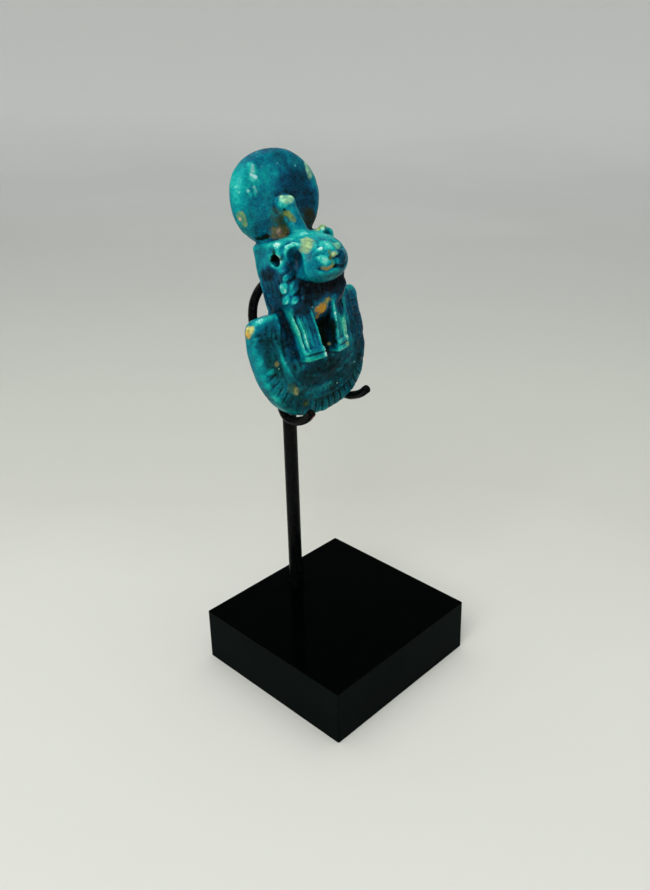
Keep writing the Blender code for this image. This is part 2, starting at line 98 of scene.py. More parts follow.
def plug(tree: bpy.types.NodeTree, node: bpy.types.Node, inputs: dict) -> None:
    """Fill a node's inputs.

    Args:
        tree: Node tree that holds the node.
        node: Node to fill.
        inputs: Input name or number to a plain value, to an output socket, or to a node, whose
            first output in use is taken.
    """
    for name, source in inputs.items():
        if isinstance(source, bpy.types.Node):
            source = next(socket for socket in source.outputs if socket.enabled)
        if isinstance(source, bpy.types.NodeSocket):
            tree.links.new(source, node.inputs[name])
        else:
            node.inputs[name].default_value = source


def add_node(
    tree: bpy.types.NodeTree, kind: str, inputs: dict | None = None, stops: Stops = (), **settings
) -> bpy.types.Node:
    """Add one shader node with its settings and links.

    Args:
        tree: Node tree that gets the node.
        kind: Node type without its "ShaderNode" prefix.
        inputs: What goes into it, as plug takes it.
        stops: Places from 0 to 1 with their sRGB hex colours, for a node with a colour ramp.
        **settings: Attributes of the node itself.

    Returns:
        The new node.
    """
    node = tree.nodes.new("ShaderNode" + kind)
    for name, value in settings.items():
        setattr(node, name, value)
    plug(tree, node, inputs or {})
    for place, _ in stops[2:]:
        node.color_ramp.elements.new(place)
    for element, (place, code) in zip(node.color_ramp.elements if stops else (), stops):
        element.position = place
        element.color = linear(code)
    return node


def span(source: Range, target: Range = (0.0, 1.0)) -> dict[int, float]:
    """A source and a target range as the numbered inputs of a MapRange node."""
    return {1: source[0], 2: source[1], 3: target[0], 4: target[1]}


def new_material(name: str) -> tuple[bpy.types.Material, bpy.types.NodeTree, bpy.types.Node]:
    """Make a material with an empty Principled shader.

    Args:
        name: Name of the finish.

    Returns:
        The material, its node tree and its Principled node.
    """
    material = bpy.data.materials.new(name)
    material.use_nodes = True
    return material, material.node_tree, material.node_tree.nodes["Principled BSDF"]


def millimetres(tree: bpy.types.NodeTree) -> bpy.types.Node:
    """Object coordinates in millimetres, so that a pattern's scale is one over its real size."""
    place = add_node(tree, "TexCoord").outputs["Object"]
    return add_node(tree, "VectorMath", {0: place, 1: (1 / MM,) * 3}, operation="MULTIPLY")


# Finishes


@dataclass(frozen=True)
class FaienceGlaze:
    """Egyptian faience: a fired paste of crushed quartz under a copper glaze, glossy and uneven.

    The glaze ran while it was hot, so it is thin and pale on edges and deep blue where it pooled,
    which gives the eye its drawing of the carving. Worn spots show the yellowish paste. The real
    grains of quartz are 0.1 to 0.4 mm wide. A few show through as pale specks, which also stand
    in for the glaze's tiny glints as painted highlights. They and the speckle of the glaze are
    drawn at about 0.4 mm, because finer ones wouldn't be seen.
    """

    name: str = "faience copper glaze"
    ior: float = 1.5
    specular: float = 0.045
    roughness: float = 0.26
    roughness_rim: Range = (0.35, 0.7)
    roughness_swing: Range = (-0.08, 0.16)
    worn_and_light_roughness: float = 0.25
    coat: float = 0.045
    coat_roughness: float = 0.12
    cloud_mm: float = 3.6
    cloud_swing: float = 0.06
    cloud_green: float = 4.0
    mottle_mm: float = 1.1
    mottle_swing: float = 0.07
    mottle_fray: float = 1.5
    speckle_mm: float = 0.4
    speckle_swing: float = 0.06
    speckle_fray: float = 2.0
    speckle_rise: float = 0.7
    pit_gap_mm: float = 1.0
    pit_rim: Range = (0.05, 0.13)
    pit_shade: float = 0.1
    pit_rise: float = -1.5
    bump_mm: float = 0.14
    bump_strength: float = 0.6
    grain_and_glint_gap_mm: float = 2.0
    grain_and_glint_rim: Range = (0.03, 0.12)
    grain_and_glint_choice: Range = (0.62, 0.8)
    grain_and_glint_strength: float = 0.55
    quartz_and_glint_code: str = "#9fd0c0"
    frayed_rim: Range = (0.12, 0.9)
    stain_rim: Range = (0.02, 0.2)
    paste_and_light_rim: Range = (0.35, 0.65)
    paste_and_light_shades: Range = (0.6, 1.3)
    # Its palest stops also give the painted highlights, and its darkest ones the painted shade.
    stops: Stops = (
        (0.0, "#cdf1e8"),
        (0.08, "#7fd8cd"),
        (0.17, "#2cbbb0"),
        (0.3, "#0a9e9e"),
        (0.46, "#03798c"),
        (0.6, "#035876"),
        (0.74, "#023954"),
        (0.87, "#022232"),
        (1.0, "#010a12"),
    )
    green_stops: Stops = (
        (0.0, "#cfeeda"),
        (0.08, "#86d6b6"),
        (0.17, "#3bbca0"),
        (0.3, "#10a191"),
        (0.46, "#087e78"),
        (0.6, "#075e5d"),
        (0.74, "#063f44"),
        (0.87, "#042526"),
        (1.0, "#010b0b"),
    )

    def swing(
        self, tree: bpy.types.NodeTree, size: float, detail: float, reach: float
    ) -> tuple[bpy.types.Node, bpy.types.Node]:
        """Noise of one real size, spread evenly to either side of 0.

        Args:
            tree: Node tree that gets the noise.
            size: Size of its patches in millimetres.
            detail: Octaves of finer noise on top.
            reach: Largest value.

        Returns:
            The raw noise and the spread value.
        """
        place = millimetres(tree)
        noise = add_node(tree, "TexNoise", {"Vector": place, "Scale": 1 / size, "Detail": detail})
        spread = {"Value": noise} | span(NOISE_SPAN, (-reach, reach))
        return noise, add_node(tree, "MapRange", spread, clamp=False)

    def material(self) -> bpy.types.Material:
        """Build the glaze from the mesh's attributes of depth, green and spots of colour.

        Besides the glaze's own colours, these carry painted highlights and painted shade.

        Returns:
            The finished material.
        """
        material, tree, shader = new_material(self.name)
        place = millimetres(tree)
        _, cloud_swing = self.swing(tree, self.cloud_mm, 2.0, self.cloud_swing)
        mottle, mottle_swing = self.swing(tree, self.mottle_mm, 2.0, self.mottle_swing)
        speckle, speckle_swing = self.swing(tree, self.speckle_mm, 1.0, self.speckle_swing)

        pit = add_node(tree, "TexVoronoi", {"Vector": place, "Scale": 1 / self.pit_gap_mm})
        pit = add_node(tree, "MapRange", {"Value": pit} | span(self.pit_rim, (self.pit_shade, 0.0)))
        depth = add_node(tree, "Attribute", attribute_name="depth").outputs["Fac"]
        for part in (cloud_swing, mottle_swing, speckle_swing, pit):
            depth = add_node(tree, "Math", {0: depth, 1: part})
        green = add_node(tree, "Attribute", attribute_name="green").outputs["Fac"]
        lean = {0: cloud_swing, 1: self.cloud_green, 2: green}
        lean = add_node(tree, "Math", lean, operation="MULTIPLY_ADD", use_clamp=True)
        blue = add_node(tree, "ValToRGB", {"Fac": depth}, self.stops)
        green = add_node(tree, "ValToRGB", {"Fac": depth}, self.green_stops)
        glaze = add_node(tree, "Mix", {"Factor": lean, "A": blue, "B": green}, data_type="RGBA")

        # Pale specks: quartz grains, which also stand in for tiny glints as painted highlights.
        grains = add_node(tree, "TexVoronoi", {"Vector": place, "Scale": 1 / self.grain_and_glint_gap_mm})
        grain = add_node(tree, "MapRange", {"Value": grains} | span(self.grain_and_glint_rim, (1.0, 0.0)))
        chance = add_node(tree, "SeparateColor", {"Color": grains.outputs["Color"]})
        choice = span(self.grain_and_glint_choice, (0.0, self.grain_and_glint_strength))
        chance = add_node(tree, "MapRange", {"Value": chance} | choice)
        grain = add_node(tree, "Math", {0: grain, 1: chance}, operation="MULTIPLY")
        quartz = linear(self.quartz_and_glint_code)
        glaze = add_node(tree, "Mix", {"Factor": grain, "A": glaze, "B": quartz}, data_type="RGBA")

        # Spots of colour: crusts, wear, bare paste, and painted highlights and painted shade.
        stain_and_light = add_node(tree, "Attribute", attribute_name="stain_and_light")
        cover = frayed = stain_and_light.outputs["Alpha"]
        for part, share in ((mottle_swing, self.mottle_fray), (speckle_swing, self.speckle_fray)):
            frayed = add_node(
                tree, "Math", {0: part, 1: share, 2: frayed}, operation="MULTIPLY_ADD"
            )
        frayed = add_node(tree, "MapRange", {"Value": frayed} | span(self.frayed_rim))
        inside = add_node(tree, "MapRange", {"Value": cover} | span(self.stain_rim))
        # Cover of the spots of colour, painted highlights and painted shade among them.
        worn_and_light = add_node(tree, "Math", {0: frayed, 1: inside}, operation="MULTIPLY")
        lights = add_node(
            tree, "MapRange", {"Value": mottle} | span(self.paste_and_light_rim, self.paste_and_light_shades)
        )
        # The spots' colour: bare paste and crusts in most, painted highlights and painted shade in
        # a few.
        paste = add_node(
            tree, "VectorMath", {0: stain_and_light.outputs["Color"], "Scale": lights}, operation="SCALE"
        )
        colour = add_node(tree, "Mix", {"Factor": worn_and_light, "A": glaze, "B": paste}, data_type="RGBA")

        low, high = (self.roughness + swing for swing in self.roughness_swing)
        rough = {"Value": mottle} | span(self.roughness_rim, (low, high))
        rough = add_node(tree, "MapRange", rough)
        rough = add_node(
            tree, "Math", {0: worn_and_light, 1: self.worn_and_light_roughness, 2: rough}, operation="MULTIPLY_ADD"
        )
        height = add_node(
            tree, "Math", {0: speckle, 1: self.speckle_rise, 2: mottle}, operation="MULTIPLY_ADD"
        )
        height = add_node(
            tree, "Math", {0: pit, 1: self.pit_rise, 2: height}, operation="MULTIPLY_ADD"
        )
        strength, reach = self.bump_strength, self.bump_mm * MM
        bump = add_node(tree, "Bump", {"Height": height, "Strength": strength, "Distance": reach})
        plug(tree, shader, {"Base Color": colour, "Roughness": rough, "Normal": bump})
        plug(tree, shader, {"IOR": self.ior, "Specular IOR Level": self.specular})
        plug(tree, shader, {"Coat Weight": self.coat, "Coat Roughness": self.coat_roughness})
        return material


@dataclass(frozen=True)
class BlackAcrylic:
    """Cast black acrylic: polished on top, left satin where it was sawn, almost without colour.

    Faint dust greys its sides. Real dust is under 0.1 mm and is drawn at 0.5 mm, so that it shows.
    """

    name: str = "cast black acrylic"
    ior: float = 1.49
    specular: float = 0.01
    top_roughness: float = 0.12
    side_roughness: float = 0.42
    dust_roughness: float = 0.15
    top_code: str = "#010202"
    side_code: str = "#060d0c"
    dust_code: str = "#18211f"
    dust_mm: float = 0.5
    smear_mm: float = 14.0
    dust_rim: Range = (0.2, 0.5)
    dust_cover: float = 0.35
    top_rim: Range = (0.5, 0.95)

    def material(self) -> bpy.types.Material:
        """Build the acrylic, polished on top and satin on its sawn sides.

        Returns:
            The finished material.
        """
        material, tree, shader = new_material(self.name)
        place = millimetres(tree)
        normal = add_node(tree, "NewGeometry").outputs["Normal"]
        up = add_node(tree, "SeparateXYZ", {"Vector": normal}).outputs["Z"]
        top = add_node(tree, "MapRange", {"Value": up} | span(self.top_rim))
        dust = add_node(
            tree, "TexNoise", {"Vector": place, "Scale": 1 / self.dust_mm, "Detail": 3.0}
        )
        smear = add_node(
            tree, "TexNoise", {"Vector": place, "Scale": 1 / self.smear_mm, "Detail": 2.0}
        )
        film = add_node(tree, "Math", {0: dust, 1: smear}, operation="MULTIPLY")
        film = add_node(
            tree, "MapRange", {"Value": film} | span(self.dust_rim, (0.0, self.dust_cover))
        )
        codes = (self.side_code, self.dust_code, self.top_code)
        clean, dusty, polished = (linear(code) for code in codes)
        side = add_node(tree, "Mix", {"Factor": film, "A": clean, "B": dusty}, data_type="RGBA")
        colour = add_node(tree, "Mix", {"Factor": top, "A": side, "B": polished}, data_type="RGBA")
        gloss = span((0.0, 1.0), (self.side_roughness, self.top_roughness))
        rough = add_node(tree, "MapRange", {"Value": top} | gloss)
        rough = add_node(
            tree, "Math", {0: film, 1: self.dust_roughness, 2: rough}, operation="MULTIPLY_ADD"
        )
        plug(tree, shader, {"Base Color": colour, "Roughness": rough, "IOR": self.ior})
        plug(tree, shader, {"Specular IOR Level": self.specular})
        return material


@dataclass(frozen=True)
class BlackPaint:
    """Black gloss paint brushed over metal: deep and shiny, with faint brush ripples."""

    name: str = "black gloss paint"
    ior: float = 1.5
    specular: float = 0.06
    roughness: float = 0.2
    roughness_swing: Range = (-0.06, 0.1)
    stops: Stops = ((0.35, "#020303"), (0.75, "#0a0d0c"))
    ripple_mm: float = 0.9
    ripple_height_mm: float = 0.05
    ripple_strength: float = 0.25
    bare_tip: Point | None = None
    bare_reach_mm: float = 1.15
    bare_rim_mm: Range = (0.35, -0.1)
    bare_fray_mm: float = 0.8
    bare_code: str = "#7a3430"

    def material(self) -> bpy.types.Material:
        """Build the paint, with reddish bare metal round bare_tip where one is named.

        Returns:
            The finished material.
        """
        material, tree, shader = new_material(self.name)
        place = millimetres(tree)
        ripple = add_node(
            tree, "TexNoise", {"Vector": place, "Scale": 1 / self.ripple_mm, "Detail": 2.0}
        )
        strength, reach = self.ripple_strength, self.ripple_height_mm * MM
        bump = add_node(tree, "Bump", {"Height": ripple, "Strength": strength, "Distance": reach})
        low, high = (self.roughness + swing for swing in self.roughness_swing)
        rough = add_node(tree, "MapRange", {"Value": ripple} | span(NOISE_SPAN, (low, high)))
        colour = add_node(tree, "ValToRGB", {"Fac": ripple}, self.stops)
        if self.bare_tip:
            away = add_node(tree, "VectorMath", {0: place, 1: self.bare_tip}, operation="DISTANCE")
            away = add_node(
                tree, "Math", {0: ripple, 1: self.bare_fray_mm, 2: away}, operation="MULTIPLY_ADD"
            )
            low, high = (self.bare_reach_mm + edge for edge in self.bare_rim_mm)
            bare = add_node(tree, "MapRange", {"Value": away} | span((low, high)))
            metal = linear(self.bare_code)
            colour = add_node(
                tree, "Mix", {"Factor": bare, "A": colour, "B": metal}, data_type="RGBA"
            )
            plug(tree, shader, {"Metallic": bare})
        plug(tree, shader, {"Base Color": colour, "Roughness": rough, "Normal": bump})
        plug(tree, shader, {"IOR": self.ior, "Specular IOR Level": self.specular})
        return material


@dataclass(frozen=True)
class BackdropCloth:
    """White polyester sheet swept up behind the object: matt and faintly warm.

    Its greys are painted light and shade: pale round the object, greyest about 260 mm behind it,
    and whitest far up its sweep, with soft painted shade where it would fold.
    """

    name: str = "white backdrop cloth"
    roughness: float = 0.9
    specular: float = 0.1
    azimuth: float = PHOTO_AZIMUTH
    reach_mm: Range = (-100.0, 900.0)
    fold_shade_mm: float = 160.0
    fold_shade_drift: float = 0.03
    stops: Stops = (
        (0.11, "#dcddd7"),
        (0.16, "#d2d3cb"),
        (0.26, "#ced0c9"),
        (0.36, "#cacbc7"),
        (0.5, "#cdcfcb"),
        (0.7, "#dcdedd"),
        (0.9, "#eceeec"),
    )

    def material(self) -> bpy.types.Material:
        """Build the cloth, whose painted shade changes slowly along its length.

        Returns:
            The finished material.
        """
        material, tree, shader = new_material(self.name)
        place = millimetres(tree)
        turn = math.radians(self.azimuth)
        away = (-math.sin(turn), math.cos(turn), 1.0)
        # Painted light and shade: the grey changes with distance along the cloth's length.
        length = add_node(tree, "VectorMath", {0: place, 1: away}, operation="DOT_PRODUCT")
        share = add_node(tree, "MapRange", {"Value": length} | span(self.reach_mm))
        # Painted shade where the cloth would fold, drifting the grey a little.
        fold_shade = add_node(
            tree, "TexNoise", {"Vector": place, "Scale": 1 / self.fold_shade_mm, "Detail": 2.0}
        )
        drift = span(NOISE_SPAN, (-self.fold_shade_drift, self.fold_shade_drift))
        drift = add_node(tree, "MapRange", {"Value": fold_shade} | drift)
        share = add_node(tree, "Math", {0: share, 1: drift})
        grey = add_node(tree, "ValToRGB", {"Fac": share}, self.stops)
        plug(tree, shader, {"Base Color": grey, "Roughness": self.roughness})
        plug(tree, shader, {"Specular IOR Level": self.specular})
        return material


# Carving tools: distances in millimetres, negative inside a form


def smooth_union(a: Grid, b: Grid, blend: float) -> Grid:
    """Join two forms with a fillet about as wide as blend."""
    near = np.maximum(blend - np.abs(a - b), 0.0) / blend
    return np.minimum(a, b) - near * near * blend / 4


def smooth_cut(a: Grid, b: Grid, blend: float) -> Grid:
    """Take form b out of form a with a rounded edge about as wide as blend."""
    return -smooth_union(-a, b, blend)


def rounded_edge(a: Grid, b: Grid, radius: float) -> Grid:
    """Keep what is inside both a and b, with their common edge rounded to radius."""
    outside = np.hypot(np.maximum(a + radius, 0.0), np.maximum(b + radius, 0.0))
    return np.minimum(-radius, np.maximum(a, b)) + outside


def ease(value: Grid, low: float, high: float) -> Grid:
    """Smooth step from 0 at low to 1 at high."""
    share = np.clip((value - low) / (high - low), 0.0, 1.0)
    return share * share * (3 - 2 * share)


@dataclass(frozen=True)
class Ball:
    """Ellipsoid, turned about z, tipped about its own x and rolled about its own y, in degrees."""

    centre: Point
    radii: Point
    turn: float = 0.0
    tip: float = 0.0
    roll: float = 0.0

    def axes(self) -> np.ndarray:
        """Work out the ball's own axes.

        Returns:
            Three unit vectors, one to a row.
        """
        turn, tip, roll = (math.radians(angle) for angle in (self.turn, self.tip, self.roll))
        pose = (
            Matrix.Rotation(turn, 3, "Z")
            @ Matrix.Rotation(tip, 3, "X")
            @ Matrix.Rotation(roll, 3, "Y")
        )
        return np.array(pose.transposed(), dtype=np.float32)

    def distance(self, x: Grid, y: Grid, z: Grid) -> Grid:
        """Distance to the ball's surface, exact on the surface itself.

        Args:
            x: Places across.
            y: Places towards the back.
            z: Places up.

        Returns:
            The distance at each place.
        """
        dx, dy, dz = x - self.centre[0], y - self.centre[1], z - self.centre[2]
        near, far = 0.0, 0.0
        for axis, radius in zip(self.axes(), self.radii):
            along = (axis[0] * dx + axis[1] * dy + axis[2] * dz) / radius
            near = near + along**2
            far = far + (along / radius) ** 2
        near, far = np.sqrt(near), np.sqrt(far)
        return near * (near - 1) / np.maximum(far, 1e-6)

    def reach(self) -> tuple[np.ndarray, np.ndarray]:
        """Lowest and highest corner of a box round the ball."""
        wide = max(self.radii)
        return np.array(self.centre) - wide, np.array(self.centre) + wide


@dataclass(frozen=True)
class Bar:
    """Round bar between two points, with a radius for each end."""

    start: Point
    end: Point
    radius: float
    end_radius: float | None = None

    def distance(self, x: Grid, y: Grid, z: Grid) -> Grid:
        """Distance to the bar's surface.

        Args:
            x: Places across.
            y: Places towards the back.
            z: Places up.

        Returns:
            The distance at each place.
        """
        start, end = np.array(self.start), np.array(self.end)
        run = end - start
        dx, dy, dz = x - start[0], y - start[1], z - start[2]
        share = np.clip((dx * run[0] + dy * run[1] + dz * run[2]) / (run @ run), 0.0, 1.0)
        gap = np.sqrt(
            (dx - run[0] * share) ** 2 + (dy - run[1] * share) ** 2 + (dz - run[2] * share) ** 2
        )
        last = self.radius if self.end_radius is None else self.end_radius
        return gap - (self.radius + (last - self.radius) * share)

    def reach(self) -> tuple[np.ndarray, np.ndarray]:
        """Fit a box round the bar.

        Returns:
            Its lowest and highest corner.
        """
        wide = max(self.radius, self.end_radius or 0.0)
        ends = np.array((self.start, self.end))
        return ends.min(axis=0) - wide, ends.max(axis=0) + wide


@dataclass
class Clay:
    """Block of distances on an even grid, which forms are added to and cut from."""

    low: Point
    high: Point
    step: float
    empty: float = 6.0
    settle_rounds: int = 12
    settle_share: float = 0.05
    values: Grid = field(init=False)
    axes: tuple[Grid, Grid, Grid] = field(init=False)

    def __post_init__(self) -> None:
        """Lay out the grid with nothing in it."""
        lines = [np.arange(a, b, self.step, dtype=np.float32) for a, b in zip(self.low, self.high)]
        self.axes = (lines[0][:, None, None], lines[1][None, :, None], lines[2][None, None, :])
        self.values = np.full([len(line) for line in lines], self.empty, dtype=np.float32)

    def window(self, form: Ball | Bar, blend: float) -> tuple[slice, slice, slice]:
        """Slices of the grid round a form.

        Args:
            form: Form that is about to change the clay.
            blend: Width of its fillet.

        Returns:
            One slice for each axis.
        """
        low, high = form.reach()
        margin = blend + 4 * self.step
        slices = []
        for axis, a, b, start in zip(self.axes, low, high, self.low):
            first = max(int((a - margin - start) / self.step), 0)
            last = min(int((b + margin - start) / self.step) + 2, axis.size)
            slices.append(slice(first, max(last, first + 1)))
        return tuple(slices)

    def change(self, form: Ball | Bar, blend: float, joining: bool) -> None:
        """Join a form to the clay, or cut it out.

        Args:
            form: Form to use.
            blend: Width of the fillet between the form and the clay.
            joining: True to join, False to cut.
        """
        part = self.window(form, blend)
        x, y, z = (self.axes[0][part[0]], self.axes[1][:, part[1]], self.axes[2][:, :, part[2]])
        shape = form.distance(x, y, z)
        mix = smooth_union if joining else smooth_cut
        self.values[part] = mix(self.values[part], shape, blend)

    def add(self, form: Ball | Bar, blend: float = 0.5) -> None:
        """Join a form to the clay."""
        self.change(form, blend, True)

    def cut(self, form: Ball | Bar, blend: float = 0.2) -> None:
        """Cut a form out of the clay."""
        self.change(form, blend, False)

    def merge(self, shape: Grid, blend: float) -> None:
        """Join a form that spans the whole grid."""
        self.values = smooth_union(self.values, np.broadcast_to(shape, self.values.shape), blend)

    def front(self, x: float, z: float) -> float:
        """Find where the clay begins, seen from the front.

        Args:
            x: Place across.
            z: Place up.

        Returns:
            Place along y.
        """
        across, up = round((x - self.low[0]) / self.step), round((z - self.low[2]) / self.step)
        line = self.values[across, :, up]
        first = max(int(np.argmax(line < 0)), 1)
        return self.low[1] + (first - line[first] / (line[first] - line[first - 1])) * self.step

    def score(
        self, route: Sequence[Range], radius: float, depth: float, blend: float = 0.2
    ) -> None:
        """Cut a groove into the front of the clay.

        Args:
            route: Points (x, z) that the groove follows.
            radius: Radius of the round tool that cuts it.
            depth: How deep the tool goes.
            blend: Width of the groove's softened edge.
        """
        path = [(x, self.front(x, z) - radius + depth, z) for x, z in route]
        for start, end in zip(path, path[1:]):
            self.cut(Bar(start, end, radius), blend)

    def settle(self) -> None:
        """Open or close the few spots where the surface would touch itself along an edge."""
        for _ in range(self.settle_rounds):
            found = 0
            for axis in range(3):
                grid = np.moveaxis(self.values, axis, 0)
                rows, columns = grid.shape[1] - 1, grid.shape[2] - 1
                corners = [grid[:, i : rows + i, j : columns + j] for i in (0, 1) for j in (0, 1)]
                inside = [corner < 0 for corner in corners]
                clash = (inside[0] == inside[3]) & (inside[1] == inside[2])
                clash &= inside[0] != inside[1]
                spots = np.argwhere(clash)
                found += len(spots)
                for spot in spots:
                    k, i, j = spot
                    square = grid[k, i : i + 2, j : j + 2]
                    least = np.unravel_index(np.argmin(np.abs(square)), (2, 2))
                    square[least] = -self.settle_share * self.step * np.sign(square[least])
            if not found:
                return

    def blurred(self, radius: float) -> Grid:
        """Distances averaged over about radius, for telling hollows from edges.

        Args:
            radius: Reach of the average in millimetres.

        Returns:
            The averaged grid.
        """
        half = max(int(round(radius / self.step)), 1)
        result = np.clip(self.values, -1.5 * radius, 1.5 * radius)
        for axis in range(3):
            for _ in range(2):
                rim = [(half + 1, half) if i == axis else (0, 0) for i in range(3)]
                padded = np.pad(result, rim, mode="edge")
                total = np.cumsum(padded, axis=axis, dtype=np.float64)
                count = result.shape[axis]
                high = np.take(total, range(2 * half + 1, 2 * half + 1 + count), axis=axis)
                low = np.take(total, range(0, count), axis=axis)
                result = ((high - low) / (2 * half + 1)).astype(np.float32)
        return result

    def ripple(self, size: float, seed: int) -> Grid:
        """Soft random swell over the whole grid.

        Args:
            size: Distance between its crests in millimetres.
            seed: Seed of the random numbers.

        Returns:
            Values from about -1 to 1.
        """
        counts = [int(math.ceil((b - a) / size)) + 3 for a, b in zip(self.low, self.high)]
        swell = np.random.default_rng(seed).uniform(-1, 1, counts).astype(np.float32)
        for axis in range(3):
            place = (self.axes[axis].ravel() - self.low[axis]) / size
            first = place.astype(int)
            share = place - first
            share = (share * share * (3 - 2 * share))[:, None, None]
            swell = np.moveaxis(swell, axis, 0)
            swell = swell[first] * (1 - share) + swell[first + 1] * share
            swell = np.moveaxis(swell, 0, axis)
        return swell

    def sample(self, values: Grid, points: Grid) -> Grid:
        """Read a grid at points in between its nodes.

        Args:
            values: Grid of the clay's own shape.
            points: One point to a row, in millimetres.

        Returns:
            One value for each point.
        """
        place = (points - np.array(self.low)) / self.step
        first = np.clip(place.astype(int), 0, np.array(values.shape) - 2)
        share = place - first
        result = np.zeros(len(points))
        for corner in range(8):
            offset = np.array([(corner >> axis) & 1 for axis in range(3)])
            weight = np.prod(np.where(offset, share, 1 - share), axis=1)
            i, j, k = (first + offset).T
            result += weight * values[i, j, k]
        return result

    def skin(self) -> tuple[Grid, Grid]:
        """Surface of the clay: a point to each crossed cell and a square to each crossed edge.

        Returns:
            The points in millimetres and the corners of each square.
        """
        f = self.values
        inside = f < 0
        nx, ny, nz = f.shape
        corners = [(c & 1, (c >> 1) & 1, (c >> 2) & 1) for c in range(8)]

        def at(grid: Grid, corner: tuple[int, int, int]) -> Grid:
            """The grid shifted so that each cell reads one of its corners."""
            i, j, k = corner
            return grid[i : nx - 1 + i, j : ny - 1 + j, k : nz - 1 + k]

        filled = sum(at(inside, c).astype(np.int8) for c in corners)
        crossed = (filled > 0) & (filled < 8)
        cells = np.argwhere(crossed)
        number = np.full(crossed.shape, -1, dtype=np.int64)
        number[crossed] = np.arange(len(cells))
        total, count = np.zeros((len(cells), 3)), np.zeros(len(cells))
        for a in corners:
            for axis in range(3):
                if a[axis]:
                    continue
                b = tuple(1 if i == axis else a[i] for i in range(3))
                fa, fb = at(f, a)[crossed], at(f, b)[crossed]
                cut = (fa < 0) != (fb < 0)
                share = np.where(cut, fa / np.where(cut, fa - fb, 1.0), 0.0)
                spot = np.array(a) + share[:, None] * (np.array(b) - np.array(a))
                total += spot * cut[:, None]
                count += cut
        points = (cells + total / count[:, None]) * self.step + np.array(self.low)
        squares = []
        for axis in range(3):
            u, v = (axis + 1) % 3, (axis + 2) % 3
            ahead = np.moveaxis(inside, axis, 0)
            change = np.moveaxis(ahead[1:] != ahead[:-1], 0, axis)
            falling = np.moveaxis(ahead[:-1], 0, axis)
            edges = np.argwhere(change)
            edges = edges[(edges[:, u] > 0) & (edges[:, v] > 0)]
            limit = np.array(crossed.shape)
            edges = edges[(edges[:, u] < limit[u]) & (edges[:, v] < limit[v])]
            ring = []
            for du, dv in ((1, 1), (0, 1), (0, 0), (1, 0)):
                cell = edges.copy()
                cell[:, u] -= du
                cell[:, v] -= dv
                ring.append(number[tuple(cell.T)])
            square = np.stack(ring, axis=1)
            turned = ~falling[tuple(edges.T)]
            square[turned] = square[turned][:, ::-1]
            squares.append(square)
        return points, np.concatenate(squares)


# Amulet


@dataclass(frozen=True)
class StainAndLight:
    """Spot of another colour on the glaze, or a stroke of it where it has an end.

    Most are crusts, wear and bare paste; a few are painted highlights and painted shade.
    """

    place: Point
    radius: float | Point
    code: str
    strength: float = 1.0
    end: Point | None = None


@dataclass(frozen=True)
class PoolAndLight:
    """Place or stroke where the glaze ran deep, or thin where depth is below 0, and its green.

    Some stand for painted shade, with depth above 0, and some for painted highlights, with depth
    below 0.
    """

    place: Point
    radius: float | Point
    depth: float
    green: float = 0.0
    end: Point | None = None


